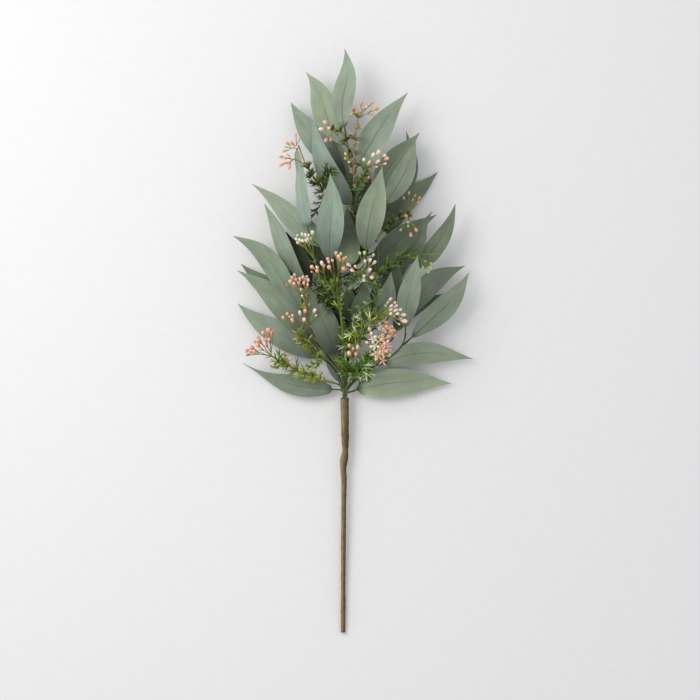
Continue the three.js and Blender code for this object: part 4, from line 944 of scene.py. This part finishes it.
# Blades.
def blade_lines(blade, shares):
    """Middle line of a blade at a column of shares, with its run, outward and sideways directions."""
    root = np.array(blade.root, float)
    run = np.array(blade.tip, float) - root
    along = unit(run)
    left = unit(np.cross(UP, along))
    lift = np.cross(along, left)
    half = math.pi * shares
    sideways = blade.bow * np.sin(half) + blade.sway * np.sin(2 * half)
    upward = blade.arch * np.sin(half)
    side_slope = math.pi * (blade.bow * np.cos(half) + 2 * blade.sway * np.cos(2 * half))
    up_slope = math.pi * blade.arch * np.cos(half)
    centre = root + shares * run + sideways * left + upward * lift
    tangent = unit(run + side_slope * left + up_slope * lift)
    roll = np.radians(blade.roll + blade.twist * (shares - WIDEST_AT))
    out = lift * np.cos(roll) - left * np.sin(roll)
    out = unit(out - tangent * np.sum(tangent * out, axis=1, keepdims=True))
    return centre, tangent, out, np.cross(out, tangent)


def blade_outline(blade, share):
    """Half width at a share of the length, where 1 is the widest. Drawn makes the tip longer and finer."""
    power = math.log(0.5) / math.log(blade.widest)
    return np.sin(math.pi * share**power) ** (blade.full + blade.drawn * share)


def both_faces(grid):
    """A grid over the upper face, followed by the same grid back over the lower face."""
    return np.concatenate([grid, grid[:, ::-1]], axis=1)


def make_blade(blade, number):
    draw = seeded(BLADE_SEED + number)
    blade = blade._replace(twist=draw(-BLADE_TWIST, BLADE_TWIST))
    crown = draw(-BLADE_CROWN, BLADE_CROWN)
    on_blade = np.linspace(0, 1, BLADE_STEPS + 1) ** BLADE_STEP_EASE
    shares = np.concatenate([np.zeros(PETIOLE_STEPS), on_blade])[:, None]
    back = np.concatenate([np.linspace(1, 0, PETIOLE_STEPS, endpoint=False), 0 * on_blade])[:, None]
    back = PETIOLE_LENGTH * back
    centre, tangent, out, across = blade_lines(blade, shares)
    centre = centre - tangent * back
    stalk = np.maximum(0, 1 - shares / PETIOLE_SHARE)
    flat = blade_outline(blade, shares)
    flat[-1] = 0
    half = blade.width / 2 * flat + mix(TIP_HALF_WIDTH, PETIOLE_HALF_WIDTH, stalk)
    spread = np.sin(np.linspace(-1, 1, BLADE_POINTS) * math.pi / 2)
    edge = np.abs(spread)
    sign = np.sign(spread)
    # How far the cloth lifts from the middle plane: fold, the part's ripple, a finer wave and a crown.
    ripple = RIPPLE_HEIGHT * np.sin(RIPPLE_PACE * shares + RIPPLE_SHIFT * number) * flat
    lift = blade.fold * half * flat * edge**FOLD_POWER + ripple * sign * edge**RIPPLE_POWER
    phase = draw(0, 6)
    wave = np.sin(math.tau * (EDGE_WAVES + draw()) * shares + phase + EDGE_WAVE_SHIFT * sign)
    lift = lift + EDGE_WAVE * wave * flat * edge**EDGE_WAVE_POWER
    lift = lift + crown * (half * flat) * 4 * edge * (1 - edge)
    beside = spread * half
    near_rib = hump(beside, 0, RIB_HALF_WIDTH) * (flat * (1 - shares) ** RIB_FADE)
    cloth = mix(CLOTH_EDGE, CLOTH_THICKNESS, 1 - edge**4)
    round_stalk = np.maximum(THINNEST, PETIOLE_THICKNESS * np.sqrt(np.maximum(0, 1 - edge**2)))
    thick = mix(cloth, round_stalk, stalk**PETIOLE_POWER)
    flank = centre[:, None] + across[:, None] * beside[:, :, None]
    upper = flank + out[:, None] * (lift + thick / 2 - RIB_DEPTH * near_rib)[:, :, None]
    lower = flank + out[:, None] * (lift - thick / 2 - RIB_RIDGE * near_rib)[:, :, None]

    length = np.linalg.norm(np.subtract(blade.tip, blade.root))
    place = (shares * length - back, both_faces(beside), draw())
    share = (shares, both_faces(edge[None]), blade.rib)
    face = linear(blade.tone) * draw(*FACE_SHADES)
    below = linear(UNDERSIDE) * draw(*BACK_SHADES) * 0.5 + face * 0.5
    shares = shares[:, :, None]
    # Painted shade toward the root; where deep is above 1, painted light there instead.
    painted_shade_toward_root = np.clip((PAINTED_ROOT_SHADE_END - shares) / PAINTED_ROOT_SHADE_REACH, 0, 1) ** PAINTED_ROOT_SHADE_POWER
    stalk_share = np.clip(stalk * 1.6 - 0.5, 0, 1)[:, :, None]
    tints = []
    for tone in (face, below):
        tint = tone * mix(1, TIP_WARMTH, shares**3) * mix(1, blade.deep, painted_shade_toward_root)
        tint = mix(tint, linear(PETIOLE_TONE), stalk_share)
        tints.append(np.broadcast_to(tint, upper.shape))

    body = Body()
    body.skin(np.concatenate([upper, lower[:, ::-1]], axis=1), np.concatenate(tints, axis=1), place, share)
    node = f"leaf_{number + 1:02d}"
    body.make("blade_" + node, node, [CLOTH], BLADE_CREASE)


# The CAD blades. The straight line of each needle leaf is tested against them, as in the part.
corners = []
triangles = []
for number in range(len(BLADES)):
    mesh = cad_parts[f"leaf_{number + 1:02d}"].data
    triangles += [[len(corners) + k for k in face.vertices] for face in mesh.polygons]
    corners += [vertex.co / MM for vertex in mesh.vertices]
obstacles = BVHTree.FromPolygons(corners, triangles)


def is_clear(root, direction, length):
    return obstacles.ray_cast(Vector(root), Vector(direction), length + NEEDLE_CLEARANCE)[0] is None


# Axis and twigs.
def axis_at(y):
    """Place and direction of the main axis at a distance along the spray."""
    points = [at for at, _ in AXIS_LINE]
    low, high = 0.0, 1.0
    for _ in range(40):
        middle = (low + high) / 2
        if curve_point(points, middle)[1] < y:
            low = middle
        else:
            high = middle
    return curve_at(points, low)


def bar_places(centres, sides, seed):
    """Run along a bar, distance round it and a seed, for each point of its skin."""
    steps = np.linalg.norm(np.diff(centres, axis=0), axis=1)
    run = np.concatenate([[0], np.cumsum(steps)])
    return run[:, None], np.abs(np.arange(sides) - sides / 2) * 0.6, seed


def add_bar(body, centres, radii, sides, seed, tone, end_tone=None):
    """A bar along a line, whose tone may change toward its end."""
    shares = np.linspace(0, 1, len(centres))[:, None, None]
    tint = mix(linear(tone), linear(end_tone or tone), shares)
    body.skin(rings_round(centres, radii, sides), tint, bar_places(centres, sides, seed))


def add_thin(body, centres, radii, seed, tone, end_tone=None):
    add_bar(body, centres, np.linspace(*radii, len(centres)), THIN_SIDES, seed, tone, end_tone)


def add_twig(body, source, foot, heading, seed, tone, end_tone, thick=1):
    """A twig from the axis to the foot of a leaf or sprig, swollen at both ends."""
    point, tangent = axis_at(source)
    end = foot - heading * SEAT_GAP
    reach = np.linalg.norm(end - point)
    leaving = unit(mix(unit(end - point), tangent, TWIG_LEAN))
    line = arc(point, point + leaving * reach * TWIG_EASE, end - heading * reach * TWIG_EASE, end, TWIG_STEPS)
    shares = np.linspace(0, 1, TWIG_STEPS + 1)
    swelling = 1 + TWIG_SWELLING * hump(shares, 0, SWELLING_REACH)
    swelling = swelling + FOOT_SWELLING * hump(shares, 1, FOOT_SWELLING_REACH)
    radii = mix(TWIG_RADIUS_START, TWIG_RADIUS_END * thick, shares) * swelling
    add_bar(body, line, radii, TWIG_SIDES, seed, tone, end_tone)


def make_branches():
    draw = seeded(BRANCH_SEED)
    body = Body()
    line, shares, radii = traced(AXIS_LINE, AXIS_STEPS)
    shares = shares[:, None]
    angles = round_angles(AXIS_SIDES)
    ridges = 1 + 0.08 * np.sin(3 * angles + 14 * shares) + 0.04 * np.sin(60 * shares)
    rings = rings_round(line, radii[:, None] * ridges, AXIS_SIDES)
    tint = mix(linear(BROWN_TWIG), linear(AXIS_TONE), np.clip(shares * 5, 0, 1)[:, :, None])
    body.skin(rings, tint, bar_places(line, AXIS_SIDES, 0.5))
    for blade in BLADES:
        centre, tangent, _, _ = blade_lines(blade, np.zeros((1, 1)))
        end_tone = GREEN_TWIG if draw() < GREEN_TWIG_SHARE else DARK_TWIG
        foot = centre[0] - tangent[0] * PETIOLE_LENGTH
        add_twig(body, blade.start, foot, tangent[0], draw(), AXIS_TONE, end_tone)
    for sprig in SPRIGS:
        root, heading = curve_at(sprig.line, 0)
        add_twig(body, sprig.start, root, heading, draw(), DARK_TWIG, sprig.stalk, sprig.thick)
    # Rods of the bundle that comes out of the open top of the stem, round the axis.
    for number, tone in enumerate(ROD_TONES):
        points = []
        for share in np.linspace(0, 1, ROD_STEPS + 1):
            point, tangent = axis_at(mix(ROD_START, ROD_END + ROD_END_STEP * number, share))
            side = unit(np.cross(UP, tangent))
            turn = math.pi + number * math.tau / len(ROD_TONES) + ROD_TWIST * share
            reach = ROD_RING * (1 - 0.6 * share**2)
            points.append(point + reach * turned(side, np.cross(tangent, side), turn))
        add_bar(body, np.array(points), np.full(len(points), ROD_RADIUS), ROD_SIDES, draw(), tone)
    # Small toothed leaves at the nodes of the axis.
    for y in np.arange(*AXIS_LEAF_PLACES):
        point, tangent = axis_at(y)
        for low, high, tones, leaves in AXIS_LEAVES:
            if low <= y < high:
                add_tuft(body, point, tangent, leaves, draw(*AXIS_LEAF_LENGTHS), tones, draw, surface=1)
    body.make("twigs", "branches", [WOOD, GREENERY], TWIG_CREASE)


# Stem.
def longer(grid):
    """A grid with its last row repeated for the rings of the hole."""
    return np.concatenate([grid, np.repeat(grid[-1:], len(SOCKET_RINGS), axis=0)])


def make_stem():
    line, _, radius = traced(STEM_LINE, STEM_STEPS)
    radius = radius[:, None]
    angles = round_angles(STEM_SIDES)
    y = line[:, 1][:, None]
    turn = y / WRAP_PITCH + angles / math.tau
    lap = turn - np.floor(turn)
    twisted = np.clip((y - TWISTED_FROM) / TWIST_EASE, 0, 1) * np.clip((TWISTED_TO - y) / TWIST_EASE, 0, 1)
    bulge = 1 + 0.1 * twisted * np.sin(2 * angles + y / 9) + 0.035 * np.sin(5 * angles + y / 23)
    bulge = bulge + 0.025 * np.sin(9 * angles - y / 15 + 2 * np.sin(y / 31))
    knobs = 0.25 * np.sin(y / 13) + 0.18 * np.sin(y / 5.3 + 1)
    waist = sum(depth * hump(y, at, length) for at, length, depth in WAISTS)
    ledges = sum(height * np.clip((y - at) / LEDGE_LENGTH, 0, 1) for at, height in LEDGES)
    reach = radius * (bulge - waist + ledges - WRAP_SINK) + WRAP_STEP * (1 - lap) + knobs * KNOB_HEIGHT
    rings = rings_round(line, reach, STEM_SIDES)
    beside = (rings[:, :, 0] - line[:, 0][:, None]) / radius
    rings[:, :, 0] += np.interp(y, *zip(*STEM_LEAN))
    rings[:, :, 2] = np.maximum(rings[:, :, 2], FLOOR_GAP)
    # Ragged rim, then the inner wall down to the floor of the hole.
    rim = RAGGED_RIM * (0.5 * np.sin(3 * angles + 1) + 0.5 * np.sin(7 * angles))
    rings[-1, :, 1] += rim
    rings[-2, :, 1] += rim * 0.5
    depths, widths = np.array(SOCKET_RINGS).T[:, :, None]
    normals, others = carried(line[-3:])
    heading = unit(line[-1] - line[-3])
    inner = ring_points(line[-1] - heading * depths, SOCKET_RADIUS * widths, angles, normals[-1], others[-1])
    inner[0, :, 1] += rim
    # The wrap is painted lighter on the side toward the lamp and darker away from it: painted light and
    # shade.
    toward_light = np.clip(0.5 - 0.8 * beside, 0, 1)[:, :, None]
    # A band of the wrap is painted darker.
    dark_band = DARK_BAND_AMOUNT * hump(y, DARK_BAND_AT, DARK_BAND_REACH, power=4)[:, :, None]
    tint = longer(mix(linear(WRAP_PAINTED_SHADE), linear(WRAP_PAINTED_LIT), toward_light) * (1 - dark_band))
    # The inner wall of the hole gets painted shade.
    tint[len(line):] = linear(WRAP_HOLLOW_SHADE)
    tint[0] = linear(WRAP_CUT)
    body = Body()
    body.skin(np.concatenate([rings, inner]), tint, (longer(y), longer(angles * radius), longer(turn)))
    body.make("wrapped_stem", "stem", [PAPER], STEM_CREASE)


# Buds and needle leaves.
def add_bud(body, foot, direction, radius, length, look, seed):
    """A teardrop bud in a short cup, along a direction."""
    angles = round_angles(BUD_SIDES)
    shares = np.linspace(0, 1, BUD_RINGS)[:, None]
    below = np.sin(math.pi / 2 * np.minimum(shares / BUD_WIDEST, 1)) ** 0.9
    above = np.sqrt(np.maximum(0, 1 - (np.maximum(shares - BUD_WIDEST, 0) / (1 - BUD_WIDEST)) ** 2))
    profile = np.maximum(below * above, np.where(shares < 0.5, 0.22, 0.06))
    lobes = np.sin(BUD_LOBES * angles)
    run = length * shares
    reach = radius * profile * (1 + BUD_LOBE_HEIGHT * lobes * np.sin(math.pi * shares))
    rings = ring_points(foot + run * direction, reach, angles, *side_pair(direction))
    low = np.clip((shares - 0.08) / 0.22, 0, 1)[:, :, None]
    # Toward the tip the bud turns to its tip tone: partly a paler tip of its own, partly a painted highlight.
    high = np.clip((shares - 0.55) / 0.4, 0, 1)[:, :, None]
    tint = mix(mix(linear(look.cup), linear(look.body), low), linear(look.tip), high)
    # Painted shade in the grooves and painted light on the lobes.
    tint = tint * (0.88 + BUD_LOBE_PAINTED_SHADE * lobes)[:, None] * mix(*BUD_SHADES, seed)
    body.skin(rings, tint, (run, angles, seed), surface=1)


def leaf_sides(direction, spin):
    """The upward and the sideways direction of a leaf that is turned about its own run."""
    normal = turned(*side_pair(direction), spin)
    return normal, np.cross(direction, normal)


def add_needle(body, root, direction, length, spin, tone, tip_tone, bend, width=1.0, steps=6, surface=0,
               painted_foot_shade=NEEDLE_PAINTED_ROOT_SHADE):
    """A narrow pointed leaf that bends a little."""
    normal, side = leaf_sides(direction, spin)
    shares = np.linspace(0, 1, steps + 1)[:, None]
    centres = root + direction * (length * shares) + normal * (bend * length * shares**2)
    swell = np.sin(math.pi * np.clip(shares, 0.02, 1) ** 0.7) ** 0.8
    flank = side * (NEEDLE_HALF_WIDTH * width * np.maximum(0.06, 0.35 * (1 - shares) ** 2 + swell))
    ridge = normal * (NEEDLE_HALF_THICKNESS * np.maximum(0.2, 1 - shares * 0.8))
    rings = np.stack([centres + flank, centres + ridge, centres - flank, centres - ridge], axis=1)
    reach = PALE_TIP_REACH if sum(tip_tone) > PALE_TONE else GREEN_TIP_REACH
    tint = mix(linear(tone), linear(tip_tone), shares**reach)
    # Painted shade toward the foot of the leaf.
    tint = tint * mix(painted_foot_shade, 1, np.clip(shares / 0.55, 0, 1))
    body.skin(rings, tint[:, None], (length * shares, [0.0, 0.5, 1.0, 0.5], spin), surface=surface)


def add_frond(body, root, direction, length, spin, tone, tip_tone, bend, draw, pairs=1, surface=0):
    """A needle leaf with side teeth, left and right in turn."""
    add_needle(body, root, direction, length, spin, tone, tip_tone, bend, width=LEAF_WIDTH, surface=surface)
    normal, side = leaf_sides(direction, spin)
    for number in range(2 * pairs):
        share = FIRST_TOOTH + TEETH_SHARE * number / (2 * pairs)
        hand = 1 if number % 2 else -1
        start = root + direction * length * share + normal * bend * length * share**2
        lean = draw(*TOOTH_LEAN)
        toward = direction * math.cos(lean) + side * hand * math.sin(lean)
        toward = unit(toward + normal * draw(*TOOTH_RISE))
        reach = length * mix(0.62, 0.4, share) * draw(*TOOTH_LENGTHS)
        if is_clear(start, toward, reach - NEEDLE_CLEARANCE):
            tooth_tip = mix(np.array(tone), np.array(tip_tone), 0.3 + 0.7 * share)
            add_needle(body, start, toward, reach, spin, tone, tooth_tip, TOOTH_BEND, steps=TOOTH_STEPS,
                       surface=surface)


def add_star(body, centre, facing, length, look, draw):
    """An open flower of narrow petals round a small heart."""
    sides = side_pair(facing)
    turn = draw() * math.tau
    for number in range(PETALS):
        outward = turned(*sides, turn + number * math.tau / PETALS)
        direction = unit(outward + facing * draw(*PETAL_LEAN))
        spin = draw() * 0.6
        add_needle(body, centre, direction, length * draw(*PETAL_LENGTHS), spin, look.body, look.tip,
                   PETAL_BEND, width=PETAL_WIDTH, steps=TOOTH_STEPS, surface=1, painted_foot_shade=STAR_PAINTED_FOOT_SHADE)
    add_bud(body, centre, facing, STAR_HEART_RADIUS, STAR_HEART_LENGTH, look, draw())


def add_knot(body, centre, tone, seed):
    """A small rounded joint."""
    shares = np.linspace(0.04, 0.96, KNOT_RINGS)[:, None]
    height = -KNOT_RADIUS * np.cos(math.pi * shares)
    reach = KNOT_RADIUS * np.sin(math.pi * shares)
    rings = ring_points(centre + UP * height, reach, round_angles(STALK_SIDES), EAST, NORTH)
    body.skin(rings, linear(tone), (0, 0, seed))


def leaf_tones(tones, shades, draw):
    """Tone of one leaf and of its tip."""
    tip = tones.tip if draw() < tones.tipped else GREEN_TIP
    return np.array(tones.needle) * draw(*shades), tip


def add_tuft(body, place, heading, leaves, length, tones, draw, surface=0):
    """Toothed leaves round one place, leaning forward."""
    sides = side_pair(heading)
    turn = draw() * math.tau
    for i in range(leaves):
        lean = draw(*TUFT_LEAN)
        direction = turned(heading, turned(*sides, turn + i * GOLDEN_ANGLE), lean)
        reach = LEAF_REACH * length * draw(*TUFT_LENGTHS)
        tone, tip = leaf_tones(tones, TUFT_SHADES, draw)
        if is_clear(place, direction, reach * 0.8 - NEEDLE_CLEARANCE):
            add_frond(body, place, direction, reach, draw() * math.tau, tone, tip, draw(*TUFT_BEND), draw,
                      surface=surface)


def add_shoot(body, place, heading, reach, leaves, length, tones, draw):
    """A thin side shoot with toothed leaves left and right in turn."""
    far = np.linalg.norm(reach)
    line = arc(place, place + heading * far * 0.3, place + reach * 0.7 + UP * 2, place + reach, SHOOT_STEPS)
    add_thin(body, line, SHOOT_RADII, draw(), tones.needle)
    for i in range(leaves):
        at, tangent = curve_at(line, mix(0.2, 1, (i + draw() * 0.5) / leaves))
        side = unit(np.cross(UP, tangent)) * (1 if i % 2 else -1)
        lean = draw(*SHOOT_LEAN)
        direction = unit(turned(tangent, side, lean) + UP * draw(*SHOOT_RISE))
        tone, tip = leaf_tones(tones, SHOOT_SHADES, draw)
        reach = LEAF_REACH * length * draw(*SHOOT_LENGTHS)
        add_frond(body, at, direction, reach, draw() * 0.8, tone, tip, SHOOT_BEND, draw)


# Sprigs.
def add_buds(body, head, joint, centre, stalk, draw):
    """The buds of a head, in groups that share a side stalk."""
    first, second = side_pair(unit(centre - joint))
    buds = []
    for right, above, look, *size in head.buds:
        size = size[0] if size else 1.0
        place = centre + np.array([right, above, draw(-BUD_HEIGHT_SPREAD, BUD_HEIGHT_SPREAD)])
        buds.append((place, size, BUD_LENGTH * look.long * size * draw(*BUD_LENGTHS), look))
    buds.sort(key=lambda bud: math.atan2(np.dot(bud[0] - centre, second), np.dot(bud[0] - centre, first)))
    for group_start in range(0, len(buds), BUD_GROUP):
        group = buds[group_start:group_start + BUD_GROUP]
        middle = sum(bud[0] for bud in group) / len(group)
        fork = mix(joint, middle, 0.5)
        branch = arc(joint, mix(joint, centre, 0.25), mix(joint, middle, 0.35), fork)
        add_thin(body, branch, SIDE_STALK_RADII, draw(), stalk)
        for bud_middle, size, length, look in group:
            direction = unit(unit(bud_middle - joint) + 0.6 * unit(bud_middle - fork))
            place = bud_middle - direction * length / 2
            run = np.linalg.norm(place - fork)
            pedicel = arc(fork, fork + unit(middle - joint) * run * 0.4, place - direction * run * 0.35,
                          place + direction * 0.4)
            add_thin(body, pedicel, PEDICEL_RADII, draw(), stalk, look.cup)
            add_bud(body, place, direction, BUD_RADIUS * size * look.slim, length, look, draw())


def add_stars(body, head, joint, centre, stalk, draw):
    """The small open flowers of a head."""
    for i in range(head.stars):
        angle = i * GOLDEN_ANGLE + draw()
        reach = math.sqrt((i + 0.5) / head.stars)
        out = np.array([math.cos(angle), math.sin(angle), 0])
        place = centre + head.spread * reach * out + UP * draw(*STAR_HEIGHTS)
        facing = unit(unit(place - joint) + UP + 0.6 * reach * out)
        line = arc(joint, mix(joint, place, 0.3), place - facing * 2, place)
        add_thin(body, line, STAR_STALK_RADII, draw(), stalk)
        looks = (BLUSH, CREAM) if out[0] < -0.25 else (PEACH, CLUB)
        add_star(body, place, facing, draw(*STAR_LENGTHS), looks[i % len(looks)], draw)


def grow_needle(body, sprig, share, lean, length, start, extra):
    """A leaf of the stalk, at the first turn where its straight line misses the CAD blades.

    Its bend, its stretch and the finer blades are not tested, so it can still cross a blade.
    """
    at, tangent = curve_at(sprig.line, share)
    first, second = side_pair(tangent)
    for attempt in range(NEEDLE_TRIES):
        angle = start + attempt * math.tau / NEEDLE_TRIES
        direction = tangent * math.cos(lean) + first * math.sin(lean) * math.cos(angle)
        direction = direction + second * math.sin(lean) * math.sin(angle)
        if is_clear(at, direction, length):
            tone, tip = leaf_tones(sprig.tones, NEEDLE_SHADES, extra)
            bend = extra(*NEEDLE_BEND)
            if extra() < FROND_SHARE:
                pairs = 1 + int(extra() * 2)
                add_frond(body, at, direction, length * FROND_STRETCH, start, tone, tip, bend, extra, pairs)
            else:
                add_needle(body, at, direction, length * NEEDLE_STRETCH, start, tone, tip, bend)
            return


def make_sprig(sprig, number):
    random = seeded(SPRIG_SEED + number)
    extra = seeded(EXTRA_SEED + number)
    body = Body()
    tone = sprig.stalk
    spans = len(sprig.line) - 1
    line = curve(sprig.line, STALK_STEPS * spans)
    shares = np.linspace(0, 1, len(line))
    radii = mix(STALK_RADIUS_START, STALK_RADIUS_END, shares) * sprig.thick
    nodes = hump((shares * spans) % 1, 0.5, NODE_REACH)
    add_bar(body, line, radii * (1 + NODE_SWELLING * nodes), STALK_SIDES, extra(), tone)
    joints = []
    for head in sprig.heads:
        joint = start = np.array(sprig.line[head.after + 1], float)
        if head.joint:
            joint = np.array(head.joint, float)
            link = arc(start, mix(start, joint, 0.3), mix(start, joint, 0.7), joint)
            add_bar(body, link, np.full(len(link), LINK_RADIUS), STALK_SIDES, extra(), tone)
        if tuple(joint) not in joints:
            add_knot(body, joint, tone, extra())
            joints.append(tuple(joint))
        centre = np.array(head.centre, float)
        add_buds(body, head, joint, centre, tone, extra)
        add_stars(body, head, joint, centre, tone, extra)
    stalk_length = np.linalg.norm(np.diff(curve(sprig.line, 40), axis=0), axis=1).sum()
    node_count = max(2, round(stalk_length / NODE_SPACING))
    for i in range(sprig.needles):
        share = mix(*sprig.within, (i + random() * 0.6) / sprig.needles)
        lean = random(*NEEDLE_LEAN)
        length = sprig.length * random(*NEEDLE_LENGTHS)
        start = i * GOLDEN_ANGLE + random()
        share = mix(share, round(share * node_count) / node_count, NODE_PULL)
        grow_needle(body, sprig, share, lean, length, start, extra)
    for share, leaves, length in sprig.tufts:
        heading = curve_tangent(sprig.line, min(share, 0.999))
        add_tuft(body, curve_point(sprig.line, share), heading, leaves, length, sprig.tones, extra)
    for share, reach, leaves, length, *tones in sprig.shoots:
        tones = tones[0] if tones else sprig.tones
        place, heading = curve_at(sprig.line, share)
        add_shoot(body, place, heading, np.array(reach, float), leaves, length, tones, extra)
    for i in range(sprig.grass):
        at, tangent = curve_at(sprig.line, mix(0.15, 1, (i + extra()) / sprig.grass))
        first, second = side_pair(tangent)
        angle = extra() * math.pi
        direction = unit(tangent + extra(*GRASS_SPREAD) * turned(second, first, angle))
        add_needle(body, at, direction, extra(*GRASS_LENGTHS), extra() * math.tau, sprig.tones.needle,
                   sprig.tones.tip, extra(*GRASS_BEND), width=GRASS_WIDTH, steps=GRASS_STEPS)
    node = f"sprig_{number + 1:02d}"
    body.make("flower_" + node, node, [GREENERY, PETAL], SPRIG_CREASE)


# Floor, light and camera.
def placed(name, data, location=(0, 0, 0)):
    thing = bpy.data.objects.new(name, data)
    thing.location = location
    bpy.context.scene.collection.objects.link(thing)
    return thing


def make_stage():
    recipe = Recipe("floor_paper")
    grain = recipe.noise(recipe.node("ShaderNodeTexCoord").outputs["Object"], 90.0, 4.0)
    colour = recipe.scaled(FLOOR_TONE, recipe.ramp(grain, 0.2, 0.8, 0.99, 1.01))
    mesh = bpy.data.meshes.new("floor")
    half = FLOOR_SIZE / 2
    corners = [(-half, -half, 0), (half, -half, 0), (half, half, 0), (-half, half, 0)]
    mesh.from_pydata(corners, [], [range(4)])
    mesh.materials.append(recipe.finish(colour, 0.9, grain, depth=0.05, specular=0.1))
    placed("floor", mesh)

    world = bpy.data.worlds.new("room")
    bpy.context.scene.world = world
    world.use_nodes = True
    back = world.node_tree.nodes["Background"]
    back.inputs["Color"].default_value = (*WORLD_TONE, 1)
    back.inputs["Strength"].default_value = WORLD_STRENGTH

    lamp = bpy.data.lights.new("window", "AREA")
    lamp.shape = "SQUARE"
    lamp.size = LIGHT_SIDE
    lamp.energy = LIGHT_POWER
    lamp.color = LIGHT_TONE
    light = placed("window", lamp, LIGHT_PLACE)
    light.rotation_mode = "QUATERNION"
    light.rotation_quaternion = (-Vector(LIGHT_PLACE)).to_track_quat("-Z", "Y")

    camera_data = bpy.data.cameras.new("camera")
    camera_data.lens = CAMERA_LENS
    camera_data.sensor_width = CAMERA_SENSOR
    bpy.context.scene.camera = placed("camera", camera_data, (*CAMERA_CENTRE, CAMERA_HEIGHT))
    bpy.context.scene.view_settings.view_transform = "Standard"


for number, blade in enumerate(BLADES):
    make_blade(blade, number)
make_stem()
make_branches()
for number, sprig in enumerate(SPRIGS):
    make_sprig(sprig, number)
make_stage()
